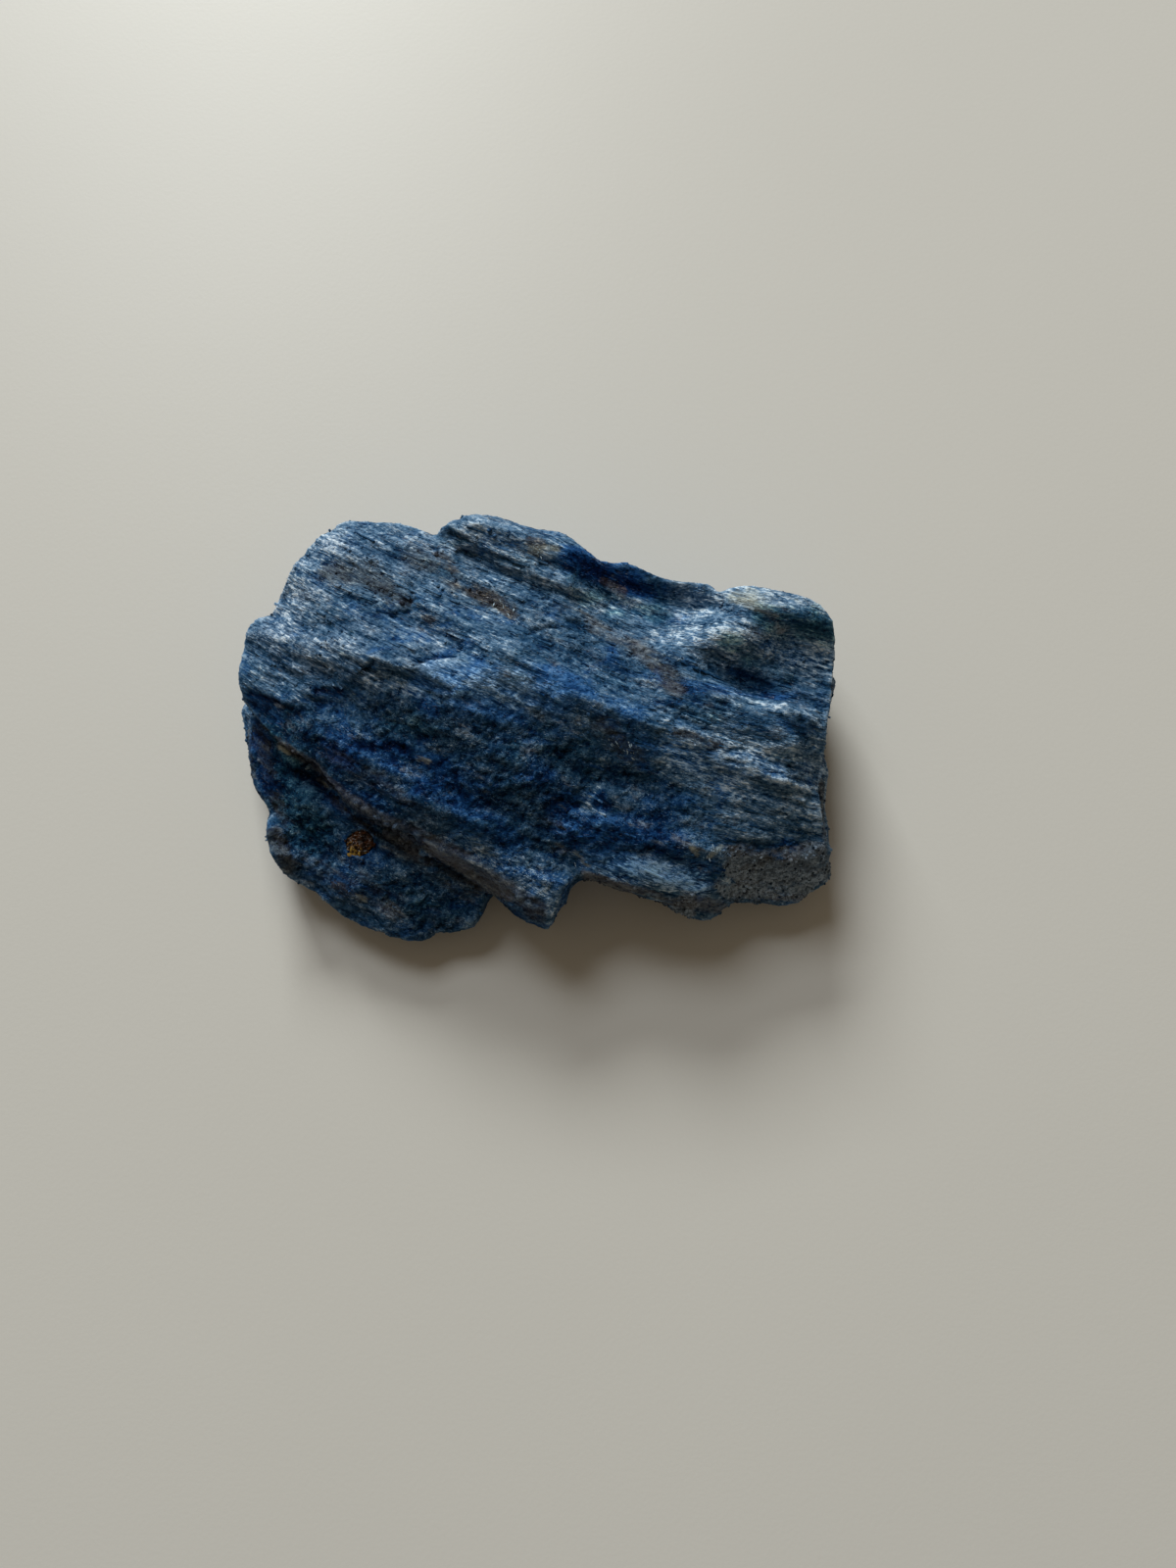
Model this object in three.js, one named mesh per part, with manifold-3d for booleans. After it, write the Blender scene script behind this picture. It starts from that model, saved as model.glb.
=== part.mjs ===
// A rough sodalite cluster: one hand-sized piece of fibrous blue rock, broken on every side.
// Its needles all run one way, falling from the north-west to the south-east, so the top is
// a set of long ridges and thin broken layers. A lower shelf sticks out at the south-west and
// holds one amber crystal. Units are millimetres, +Z is up, and the stone lies on its underside.
// X runs along the stone's length and +Y points to its north side.
import * as THREE from "three";
import { ImprovedNoise } from "three/addons/math/ImprovedNoise.js";
import { mergeVertices } from "three/addons/utils/BufferGeometryUtils.js";
import Module from "manifold-3d";

// ---- driving dimensions ----
const STONE = { length: 82, width: 56, height: 25 };
const TOP_CELL = { along: 2.5, across: 0.85 }; // facets of the upper surface, along and across the needles
const UNDERSIDE_CELL = { along: 3.4, across: 3.4 };
const OVER = 8; // how far a cutting block reaches past the stone
const TUCK = 0.09; // the underside is this share narrower than the foot of the walls
const SAMPLES_PER_POINT = 2; // wall facets from one outline point to the next
const WALL_BANDS = 6; // rows of facets from the top edge to the foot of a wall
const STONE_COLOUR = 0x2c4a6e;

// ---- outlines ----
// Each row is one point of a broken edge, going clockwise seen from above:
// [x, y, height of the top edge, how far the wall's foot stands out in x and in y, height of the foot].

const SLAB_RIM = [
  // left end, which overhangs the shelf
  [-39.6, 7, 15, 1.5, 0, 9],
  [-39.2, 9.5, 15.5, 1, 0, 8],
  [-38.6, 12.5, 16, 0.5, 0, 8],
  [-37.3, 14.2, 16.5, 0.5, 0.5, 8],
  [-35.3, 14.8, 16.5, 0, 1, 8],
  [-34.3, 17, 16.5, 0, 1, 8],
  // north-west, where the needles are snapped across
  [-33.4, 19, 16.5, 0, 0.5, 7],
  [-31.4, 22.2, 17, 0, 0.5, 7],
  [-29, 24.7, 17.5, 0, 0.5, 7],
  [-26.8, 26.4, 18, 0, 0.5, 7],
  [-25, 27.5, 18, 0, 0.5, 7],
  // north side
  [-22.5, 27.4, 18.5, 0, 0.5, 7],
  [-19.5, 27, 19, 0, 0.5, 7],
  [-16, 26, 19.5, 0, 0.5, 7],
  [-12.8, 24.8, 20, 0, 0.5, 7],
  [-12.2, 25.4, 20, 0, 0, 7],
  [-9.5, 26, 20.5, 0, 0, 6],
  [-7, 27, 20.5, 0, -0.5, 6],
  [-4.5, 27, 20.5, 0, -0.5, 6],
  [-2, 26, 20.5, 0, 0, 6],
  [0.5, 25, 20.5, 0, 0.5, 6],
  [3.5, 24.5, 20.5, 0, 0.5, 6],
  [6, 23, 20.5, 0, 1, 6],
  [8.5, 21, 20.5, 0, 1.5, 6],
  [12.5, 21, 20.3, 0, 1, 6],
  [15, 20, 19.8, 0, 1.5, 6],
  [17.5, 19, 19, 0, 2, 6],
  [21, 18.5, 18.5, 0, 2, 6],
  [23.5, 18, 18.5, 0, 2, 6],
  [24.5, 17, 18.3, 0, 2, 6],
  [26, 17.5, 18.8, 0, 2, 6],
  [28.5, 17.5, 19.3, 0, 2, 6],
  [32, 17, 19.6, 0, 2, 6],
  [35, 16.5, 19.2, 0.5, 1.5, 6],
  [38, 15, 18.6, 1, 1, 6],
  // east end, snapped straight across
  [39.5, 13.5, 18, 1, 0.5, 6],
  [40, 11, 17.5, 1, 0, 6],
  [39.5, 6, 17, 1, 0, 6],
  [39, 1.5, 17, 1, 0, 5],
  [38.5, -1, 16.5, 1, 0, 5],
  [38.5, -3.5, 16, 1, 0, 5],
  [37.5, -5.5, 15.5, 1.6, 0, 5],
  [37.5, -8.5, 15, 2.4, 0, 5],
  [38, -12, 14.5, 2.5, -0.5, 5],
  [38, -14, 14, 2.9, -5.2, 6],
  // the grey, granular corner at the south-east
  [36.5, -15.5, 14, 1.8, -5.8, 5.5],
  [33, -16.4, 14, 2.4, -6.6, 5],
  [29, -16.8, 14, 2.4, -7, 5],
  [26, -17.3, 13.9, 1.6, -6.4, 5.3],
  [24.8, -19.4, 13.4, 0.4, -5.2, 5.8],
  [22.5, -21.6, 13, 0.1, -3.6, 6.3],
  [19.5, -23, 13, 0, -1.6, 7],
  // south side, east of the tooth
  [17, -22.3, 13.5, 0, -1.2, 8],
  [13.5, -21.5, 14, 0, -0.7, 8],
  [10, -20.7, 14.5, 0, -0.4, 8],
  [7.5, -20.1, 15, 0, -0.2, 8],
  // the tooth
  [5.7, -20, 15, 0, -0.2, 8],
  [4.3, -21.3, 14.3, -0.1, -1.1, 8],
  [3.2, -23.2, 13.8, -0.3, -3.2, 7],
  [2.4, -24.5, 13.4, -0.6, -4.1, 6.5],
  [0.6, -23.5, 14, -0.6, -4.3, 6.8],
  [-2.3, -21.7, 14.3, -0.4, -4.1, 7],
  [-5, -20, 14.5, 0, -2.6, 8],
  // south-west edge, above the shelf
  [-7, -19, 14.5, -0.6, -1.6, 8.5],
  [-9.5, -17.5, 15, -1, -1.2, 9],
  [-12.5, -16, 15, -1.2, -1.5, 9.5],
  [-16, -14.5, 15.5, -1.2, -1.2, 10],
  [-19, -13, 15.5, -1.2, -0.8, 10],
  [-22, -11.5, 15.5, -1, -0.7, 10],
  [-25.5, -9, 15.5, -0.8, -0.8, 10],
  [-27.5, -7, 15.5, -0.8, -0.5, 10],
  [-29.5, -5, 15.5, -0.8, -0.3, 10],
  [-31.5, -4, 15.5, -0.8, 0, 10],
  [-34, -2.5, 15, -0.5, 0, 9.5],
  [-36, 0, 14.5, -0.3, 0, 9.5],
  [-38, 2.5, 14, 0, 0.3, 9.5],
  [-39.3, 4.5, 14.5, 0.8, 0.3, 9],
];

const SHELF_RIM = [
  // west side
  [-39, -5, 8, -2.6, 0, 3],
  [-39.4, -1.5, 8.5, -2.5, 0, 3],
  [-39.2, 2.5, 9, -2.6, 0.3, 3],
  [-38.4, 5, 8.5, -2.8, 0.5, 3],
  // buried side, inside the slab
  [-34, 5.5, 8.5, 0, 1, 3],
  [-29.5, 1, 9, 0, 1, 3],
  [-19.5, -5.5, 9, 0, 1, 3],
  [-9, -12.5, 9, 0, 1, 3],
  [-4, -19, 8, 0, 1, 3],
  // south side
  [-6.8, -22.7, 6, 0, -0.2, 3],
  [-8.1, -25.5, 5.5, -0.3, 0.4, 2.5],
  [-9.8, -27, 5.2, -0.3, 0.6, 2.5],
  [-12.2, -27.9, 5, 0, 0.6, 2.5],
  [-15.6, -28.3, 5, 0, 0.6, 2.5],
  [-18.6, -28, 5, 0, 0.5, 2.5],
  [-22.4, -26.8, 5.2, 0, 0.2, 2.5],
  [-26.4, -24.7, 5.5, 0, 0, 2.5],
  [-30.4, -21.7, 6, 0, 0, 3],
  // the lumpy brown rim
  [-33.6, -19.7, 6.5, -0.3, -0.3, 3],
  [-35.1, -18, 7.5, -0.6, -0.2, 3],
  [-36, -15.6, 8.5, -0.8, 0, 3],
  [-36.5, -13, 8.5, -1, 0, 3],
  [-36.4, -10.5, 7.8, -0.8, 0, 3],
  [-37.6, -8.5, 7.8, -1.5, 0, 3],
];

// ---- spot heights: [x, y, height] where the broken surface changes its slope ----

const SLAB_SPOTS = [
  // the bright face that falls away to the north-west
  [-31.5, 15, 18.5],
  [-27.5, 19, 19],
  [-23.5, 22.5, 19.5],
  [-18, 22.5, 20],
  [-32.5, 8, 18.3],
  [-27, 8.5, 19.8],
  [-21, 14, 20.8],
  [-14.5, 19, 20.6],
  // the crest
  [-24, 5.5, 20.5],
  [-17.5, 6.5, 21.5],
  [-11, 3.5, 22.6],
  [-2.5, 4.5, 22.8],
  [6, 1.5, 22],
  [13.5, -1.5, 20.8],
  // north shoulder
  [-11.5, 11, 21.8],
  [-8, 18, 20.8],
  [1, 11, 22],
  [2, 15.5, 21.4],
  [6.5, 16.5, 20.6],
  // the scoop
  [11, 19, 18.6],
  [9, 16, 18],
  [12.5, 16, 16.5],
  [16, 15.5, 16],
  [19.5, 16.5, 16.3],
  [12.5, 12, 18.6],
  [20.5, 14, 17],
  // the wave beside the scoop, and its lee
  [20, 10, 20],
  [25.5, 11, 20.5],
  [17.5, 6, 20.4],
  [28, 10, 20],
  [25, 5.5, 18],
  [30.5, 4.5, 16.8],
  [35.5, 4.5, 16.2],
  // the ridge at the east end
  [26, 1.5, 19.2],
  [32.5, 1, 18.9],
  // the pale knob, and the dark face under it
  [28, 15.2, 20.2],
  [32.5, 14.2, 21],
  [37, 12.8, 19.8],
  [33, 10, 17.4],
  [38, 8.2, 16.6],
  // middle
  [7, -4.5, 20.3],
  [20, -4.5, 19.3],
  [30, -6.5, 17.8],
  [34.5, -9, 16.6],
  // the dark slope that falls to the south
  [-30, 0.5, 17],
  [-25, -4, 17.8],
  [-18, -4, 19],
  [-11.5, -7, 19.2],
  [-5.5, -4.5, 20.6],
  [-3, -11.5, 18.4],
  [-12, -13, 17],
  [2, -16, 16.6],
  [7.5, -15, 16.2],
  [-0.5, -21, 15.2],
  [12.5, -16, 15.8],
  [20, -18.5, 14.9],
  [17.5, -11, 17.6],
  [26.5, -13, 16],
  [33, -13.5, 15],
];

const SHELF_SPOTS = [
  [-35.5, -6, 9.2],
  [-32, 0, 9.8],
  [-30, -11.5, 9.8],
  [-31.5, -15, 8.4],
  [-23.5, -15, 9.6],
  [-27, -18, 8.6],
  [-19.5, -20.5, 8.6],
  [-14, -22.5, 8],
  [-9.8, -21, 8.6],
  [-15, -18, 10.2],
  [-26, -22.2, 7.2],
];

// ---- breaks in the surface ----
// A ledge is a thin broken layer: the ground left of its line stands higher, and falls back behind it.
const LEDGES = [
  // the raised layer on the north side, with its pointed west end
  {
    line: [[11, 14.5], [5, 16], [1.5, 17], [-1.5, 18.2], [-4.5, 20], [-7, 21.6], [-9.2, 22.8], [-10.2, 23.8], [-13, 25.5]],
    rise: 1.3,
    back: 9,
    lip: 0.45,
    fade: 7,
    startOnly: true,
  },
  // the edge of the upper layers, across the west half
  {
    line: [[-1, 0.5], [-7, 2], [-11, 2.6], [-14.5, 4.4], [-19, 5.8], [-21, 5], [-24.5, 3.6], [-29.5, 2.6], [-31.5, 1.4], [-36, 3], [-42, 4]],
    rise: 1.4,
    back: 9,
    lip: 0.5,
    fade: 8,
    startOnly: true,
  },
  // the curved scarp between the tooth and the south-east part
  {
    line: [[8.6, -6.5], [7.5, -10.5], [6.8, -12.5], [4.6, -14.2], [4.4, -15.4], [5.8, -17], [7.2, -19.5]],
    rise: -1.2,
    back: 6,
    lip: 0.7,
    fade: 3,
    startOnly: false,
  },
  // a thin layer that ends in the middle of the crest
  {
    line: [[24, -6], [15, -2.5], [8, 0.5], [3, 3.2], [-3, 6.5], [-9, 8.5]],
    rise: 0.8,
    back: 5,
    lip: 0.6,
    fade: 6,
    startOnly: false,
  },
  // a thin layer above the east end's streaks
  {
    line: [[38, -6.5], [31, -4.5], [25, -2.6], [18, 0.2], [12, 3.4]],
    rise: 0.9,
    back: 4,
    lip: 0.6,
    fade: 5,
    startOnly: false,
  },
  // the lip under the shadowed lee of the wave
  {
    line: [[38, 2.4], [33, 3.4], [29, 5.6], [25, 8], [20, 8.6]],
    rise: 0.8,
    back: 4,
    lip: 0.9,
    fade: 4,
    startOnly: false,
  },
];

// A ridge has a sharp crest line and straight sides.
const RIDGES = [
  { line: [[-12, 25.6], [-6.5, 25], [-0.5, 23], [4.5, 21.6], [8, 20]], rise: 1.6, half: 3, fade: 3 },
  { line: [[-28, 11], [-20, 8.5], [-12, 6], [-4, 4.6], [4, 2.2], [12, -1], [20, -3.8]], rise: 0.7, half: 2.6, fade: 8 },
  { line: [[22, 3.4], [28, 2.2], [33, 1.2], [38, -0.6]], rise: 1, half: 2.2, fade: 4 },
  { line: [[15, 8], [20, 10], [25.5, 11], [29, 9.5]], rise: 0.8, half: 3, fade: 4 },
  { line: [[25, 16.5], [28, 15.6], [32.5, 14.4], [37, 12.8]], rise: 0.8, half: 2.4, fade: 3 },
  { line: [[22, -4.6], [28, -6.4], [35, -8.6]], rise: 0.5, half: 1.8, fade: 4 },
  { line: [[-9, -18.4], [-4, -20.6], [0, -22.6]], rise: 0.5, half: 2, fade: 3 },
];

// A groove is a narrow crack.
const GROOVES = [
  { line: [[-15.5, 6.6], [-13, 7.1], [-9.3, 8.3]], depth: 1.3, half: 1.1, fade: 1 },
  { line: [[-15, 18.6], [-15.6, 17], [-15, 15]], depth: 1, half: 1.2, fade: 1 },
  { line: [[-9.6, 22.6], [-7.4, 21.2], [-4.6, 19.6], [-1.6, 17.8]], depth: 0.9, half: 1.2, fade: 2 },
  { line: [[-30, 6.4], [-25, 5.4], [-21.5, 4]], depth: 0.8, half: 1.3, fade: 2 },
  { line: [[22, 7.4], [26, 6], [30, 4.2]], depth: 0.8, half: 2, fade: 2 },
];

const SHELF_RIDGES = [
  { line: [[-36, -11.5], [-35.2, -15], [-34.4, -18.6]], rise: 1.6, half: 1.9, fade: 1.5 },
  { line: [[-19.6, -15.2], [-16, -17], [-12, -19.6]], rise: 1.2, half: 1.6, fade: 2 },
  { line: [[-30, -19.5], [-24, -23.5], [-16, -25.4]], rise: 0.5, half: 2.4, fade: 3 },
];
const SHELF_GROOVES = [
  { line: [[-9.6, -24.5], [-9.8, -21], [-8.6, -18.5]], depth: 0.9, half: 1.3, fade: 1.5 },
  { line: [[-34, -13.5], [-33, -16.5], [-32.4, -19]], depth: 0.9, half: 1.3, fade: 1.5 },
  { line: [[-19, -23], [-18.4, -27]], depth: 0.8, half: 1.4, fade: 1 },
];

// The amber crystal on the shelf: half sunk, with flat faces.
const CRYSTAL = { at: [-23.6, -15.1], length: 4.4, breadth: 3.6, height: 3, proud: 0.8, turn: 0.5 };

const { smoothstep } = THREE.MathUtils;

// ---- the grain of the rock ----

const noise = new ImprovedNoise();

// Needles follow lines y = GRAIN_FALL * x + GRAIN_BEND * x * x + constant.
const GRAIN_FALL = -0.41;
const GRAIN_BEND = 0.002;

// Distance across the needles from the one through the origin.
function acrossGrain(x, y) {
  return y - GRAIN_FALL * x - GRAIN_BEND * x * x;
}

// Long ribs that follow the needles, from -1 to 1.
function ribs(x, y, z, long, fine) {
  return noise.noise(x / long + 3.7, acrossGrain(x, y) / fine, z / fine + 9.1);
}

// Lumps with no direction, from -1 to 1.
function lumps(x, y, z, size) {
  return noise.noise(x / size + 31.4, y / size + 5.2, z / size + 17.3);
}

// Thin broken layers: whole numbers joined by steep steps, whose edges run with the needles.
function layers(x, y, z, long, fine) {
  const level = 4 * ribs(x, y, z, long, fine);
  const floor = Math.floor(level);
  return floor + smoothstep(level - floor, 0.3, 0.7);
}

// ---- broken lines ----

// The nearest point of a line to (x, y): how far it is, on which side, and how far along it lies.
function nearest(line, x, y) {
  let best = { distance: Infinity, side: 1, along: 0 };
  let length = 0;
  for (let i = 1; i < line.length; i++) {
    const [ax, ay] = line[i - 1];
    const [bx, by] = line[i];
    const span = Math.hypot(bx - ax, by - ay);
    const share = ((x - ax) * (bx - ax) + (y - ay) * (by - ay)) / (span * span);
    const t = THREE.MathUtils.clamp(share, 0, 1);
    const distance = Math.hypot(x - ax - t * (bx - ax), y - ay - t * (by - ay));
    if (distance < best.distance) {
      const side = Math.sign((bx - ax) * (y - ay) - (by - ay) * (x - ax)) || 1;
      best = { distance, side, along: length + t * span };
    }
    length += span;
  }
  return { ...best, length };
}

// 1 along a line, falling to 0 at its ends.
function endFade({ along, length }, fade) {
  return smoothstep(along, 0, fade) * smoothstep(length - along, 0, fade);
}

// Lines are written from east to west, so the north side is on their right.
function ledgeHeight({ line, rise, back, lip, fade, startOnly }, x, y) {
  const near = nearest(line, x, y);
  const north = -near.side * near.distance;
  const ends = startOnly ? smoothstep(near.along, 0, fade) : endFade(near, fade);
  return rise * ends * smoothstep(north, -lip, lip) * Math.exp(-Math.max(north, 0) / back);
}

function ridgeHeight({ line, rise, half, fade }, x, y) {
  const near = nearest(line, x, y);
  return rise * endFade(near, fade) * Math.max(0, 1 - near.distance / half);
}

function grooveDepth({ line, depth, half, fade }, x, y) {
  const near = nearest(line, x, y);
  return depth * endFade(near, fade) * Math.max(0, 1 - near.distance / half);
}

function sum(list, height, x, y) {
  return list.reduce((total, item) => total + height(item, x, y), 0);
}

// ---- a smooth surface through spot heights (a thin-plate spline) ----

function bend(distance) {
  return distance < 1e-6 ? 0 : distance * distance * Math.log(distance);
}

// Solves rows * unknowns = last column, by Gauss's elimination with pivots.
function solve(rows) {
  const n = rows.length;
  for (let c = 0; c < n; c++) {
    let pivot = c;
    for (let r = c + 1; r < n; r++) {
      if (Math.abs(rows[r][c]) > Math.abs(rows[pivot][c])) pivot = r;
    }
    [rows[c], rows[pivot]] = [rows[pivot], rows[c]];
    for (let r = c + 1; r < n; r++) {
      const factor = rows[r][c] / rows[c][c];
      for (let k = c; k <= n; k++) rows[r][k] -= factor * rows[c][k];
    }
  }
  const found = new Array(n).fill(0);
  for (let r = n - 1; r >= 0; r--) {
    let value = rows[r][n];
    for (let k = r + 1; k < n; k++) value -= rows[r][k] * found[k];
    found[r] = value / rows[r][r];
  }
  return found;
}

function surfaceThrough(spots) {
  const n = spots.length;
  const rows = spots.map(([x, y, z]) => [
    ...spots.map(([u, v]) => bend(Math.hypot(x - u, y - v))),
    1,
    x,
    y,
    z,
  ]);
  rows.push([...spots.map(() => 1), 0, 0, 0, 0]);
  rows.push([...spots.map(([u]) => u), 0, 0, 0, 0]);
  rows.push([...spots.map(([, v]) => v), 0, 0, 0, 0]);
  const weights = solve(rows);
  return (x, y) => {
    let z = weights[n] + weights[n + 1] * x + weights[n + 2] * y;
    spots.forEach(([u, v], i) => {
      z += weights[i] * bend(Math.hypot(x - u, y - v));
    });
    return z;
  };
}

const slabBase = surfaceThrough([...SLAB_RIM.map(([x, y, z]) => [x, y, z]), ...SLAB_SPOTS]);
const shelfBase = surfaceThrough([...SHELF_RIM.map(([x, y, z]) => [x, y, z]), ...SHELF_SPOTS]);

// ---- the surfaces ----

const LAYER_HEIGHT = 0.4;
const RIB_HEIGHT = 0.8;
const FINE_RIB_HEIGHT = 0.55;
const LUMP_HEIGHT = 0.5;
const EDGE_WEAR = { depth: 0.8, reach: 1.2 }; // how much a top edge is worn round

function slabTop(x, y) {
  const base = slabBase(x, y);
  const edge = nearest([...SLAB_RIM, SLAB_RIM[0]], x, y).distance;
  return (
    base +
    sum(LEDGES, ledgeHeight, x, y) +
    sum(RIDGES, ridgeHeight, x, y) -
    sum(GROOVES, grooveDepth, x, y) +
    LAYER_HEIGHT * layers(x, y, base, 24, 7) +
    RIB_HEIGHT * ribs(x, y, base, 22, 3.6) +
    FINE_RIB_HEIGHT * ribs(x, y, base, 11, 1.9) +
    LUMP_HEIGHT * lumps(x, y, base, 6) -
    EDGE_WEAR.depth * Math.exp(-edge / EDGE_WEAR.reach)
  );
}

function shelfTop(x, y) {
  const base = shelfBase(x, y);
  return (
    base +
    sum(SHELF_RIDGES, ridgeHeight, x, y) -
    sum(SHELF_GROOVES, grooveDepth, x, y) +
    LAYER_HEIGHT * layers(x, y, base, 12, 6) +
    2 * LUMP_HEIGHT * lumps(x, y, base, 4.4) +
    LUMP_HEIGHT * lumps(x, y, base, 2.3)
  );
}

// The underside is flat where the stone touches the table, hollow between, and lifts to the rim.
const HOLLOW = 2.4;
const LIFT = { height: 5, from: 0.74, to: 1.2 };

function underside(x, y) {
  const hollow = lumps(x, y, 0, 13) + 0.5 * ribs(x, y, 0, 20, 6);
  const out = Math.hypot(x / 40, y / 27) + 0.25 * lumps(x, y, 8, 11);
  return HOLLOW * smoothstep(hollow, 0.06, 0.5) + LIFT.height * smoothstep(out, LIFT.from, LIFT.to);
}

// ---- solids ----

const wasm = await Module();
wasm.setup();

function toSolid(geometry) {
  const bare = geometry.clone();
  bare.deleteAttribute("normal");
  bare.deleteAttribute("uv");
  const merged = mergeVertices(bare, 1e-4);
  return new wasm.Manifold(
    new wasm.Mesh({
      numProp: 3,
      vertProperties: merged.attributes.position.array,
      triVerts: new Uint32Array(merged.index.array),
    }),
  );
}

function toGeometry(solid) {
  const { vertProperties, triVerts } = solid.getMesh();
  const geometry = new THREE.BufferGeometry();
  geometry.setAttribute("position", new THREE.BufferAttribute(vertProperties, 3));
  geometry.setIndex(new THREE.BufferAttribute(triVerts, 1));
  geometry.computeVertexNormals();
  return geometry;
}

// A block over the whole stone whose top or bottom face follows a surface, and which runs far past it.
// The rows of its facets run with the needles, and every row starts at a place of its own.
function reliefBlock(surface, cell, faceIsTop) {
  const length = STONE.length + 2 * OVER;
  const width = STONE.width - GRAIN_FALL * length + OVER;
  const across = Math.round(width / cell.across);
  const along = Math.round(length / cell.along);
  const block = new THREE.BoxGeometry(length, width, 2, along, across, 1);
  const place = block.attributes.position;
  const far = faceIsTop ? -OVER : STONE.height + OVER;
  for (let i = 0; i < place.count; i++) {
    const row = Math.round(place.getY(i) / cell.across);
    const x = place.getX(i) + 0.5 * cell.along * Math.sin(12.9 * row);
    const y = place.getY(i) + GRAIN_FALL * x + GRAIN_BEND * x * x;
    const onFace = place.getZ(i) > 0 === faceIsTop;
    place.setXYZ(i, x, y, onFace ? surface(x, y) : far);
  }
  return toSolid(block);
}

// Closed rings of points, one above the other, skinned into one solid from the lowest to the highest.
function loft(rings) {
  const count = rings[0].length;
  const points = rings.flat();
  const faces = [];
  for (let level = 1; level < rings.length; level++) {
    for (let i = 0; i < count; i++) {
      const next = (i + 1) % count;
      const low = (level - 1) * count;
      const high = level * count;
      faces.push(low + i, high + next, low + next, low + i, high + i, high + next);
    }
  }
  const top = (rings.length - 1) * count;
  const cap = (ring) => THREE.ShapeUtils.triangulateShape(ring.map((p) => new THREE.Vector2(p.x, p.y)), []);
  cap(rings[0]).forEach(([a, b, c]) => faces.push(a, c, b));
  cap(rings[rings.length - 1]).forEach(([a, b, c]) => faces.push(top + a, top + b, top + c));
  const geometry = new THREE.BufferGeometry().setFromPoints(points);
  geometry.setIndex(faces);
  return toSolid(geometry);
}

// How far a point of a wall stands out of its straight slope.
const WALL_LUMPS = 1.9;
const WALL_LAYERS = 0.75;
const WALL_RIBS = 1.2;

function wallPoint(edge, foot, share) {
  const point = edge.clone().lerp(foot, share);
  const { x, y, z } = point;
  const out = new THREE.Vector3(edge.x, edge.y * 1.4, 0).normalize();
  const rough =
    WALL_LUMPS * lumps(x, y, z, 7) +
    WALL_LAYERS * layers(x, y, z, 14, 6) +
    WALL_RIBS * ribs(x, y, z, 9, 2.8);
  return point.addScaledVector(out, rough * share * (1.7 - share));
}

// The solid inside a rim's walls, from below the table to above the stone.
function walls(rim) {
  const curve = (points) => new THREE.CatmullRomCurve3(points, true, "centripetal");
  const edges = curve(rim.map(([x, y, z]) => new THREE.Vector3(x, y, z)));
  const feet = curve(rim.map(([x, y, , dx, dy, z]) => new THREE.Vector3(x + dx, y + dy, z)));
  const count = rim.length * SAMPLES_PER_POINT;
  const steps = Array.from({ length: count }, (_, i) => i / count);
  const edgePoints = steps.map((t) => edges.getPoint(t));
  const footPoints = steps.map((t) => feet.getPoint(t));
  const tucked = footPoints.map((foot) => new THREE.Vector3(foot.x * (1 - TUCK), foot.y * (1 - TUCK), 0));
  const rings = [tucked.map((p) => new THREE.Vector3(p.x, p.y, -OVER / 2)), tucked];
  for (let band = WALL_BANDS; band >= 0; band--) {
    rings.push(edgePoints.map((edge, i) => wallPoint(edge, footPoints[i], band / WALL_BANDS)));
  }
  const roof = STONE.height + OVER / 2;
  rings.push(rings[rings.length - 1].map((p) => new THREE.Vector3(p.x, p.y, roof)));
  return loft(rings);
}

// A stubby crystal with flat faces, sunk in the shelf.
function amberCrystal() {
  const { at, length, breadth, height, proud, turn } = CRYSTAL;
  const body = new THREE.IcosahedronGeometry(0.5, 0);
  body.scale(length, breadth, height);
  body.rotateZ(turn);
  body.translate(at[0], at[1], shelfTop(...at) + proud - height / 2);
  return toSolid(body);
}

const slab = walls(SLAB_RIM).intersect(reliefBlock(slabTop, TOP_CELL, true));
const shelf = walls(SHELF_RIM).intersect(reliefBlock(shelfTop, TOP_CELL, true));
const stone = slab
  .add(shelf)
  .add(amberCrystal())
  .intersect(reliefBlock(underside, UNDERSIDE_CELL, false));

// ---- the model, with its origin under the middle of the stone ----

const geometry = toGeometry(stone);
geometry.computeBoundingBox();
const middle = geometry.boundingBox.getCenter(new THREE.Vector3());
geometry.translate(-middle.x, -middle.y, 0);

const mesh = new THREE.Mesh(
  geometry,
  new THREE.MeshStandardMaterial({ color: STONE_COLOUR, roughness: 0.75, metalness: 0 }),
);
mesh.name = "sodalite_stone";

const group = new THREE.Group();
group.add(mesh);

export default group;
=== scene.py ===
"""A palm-sized broken chunk of fibrous blue rock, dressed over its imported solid.

The stone is one body. Its skin is a fine copy of the solid with needle bundles, thin
ledges, felted patches and grains raised on it by Geometry Nodes. Needles, splinters,
crumbs and mica flakes grow out of that skin, and an amber crystal sits in a pocket of
the lower shelf. All lengths in the classes are millimetres unless their name says
otherwise, and meshes are in metres.
"""

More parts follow.
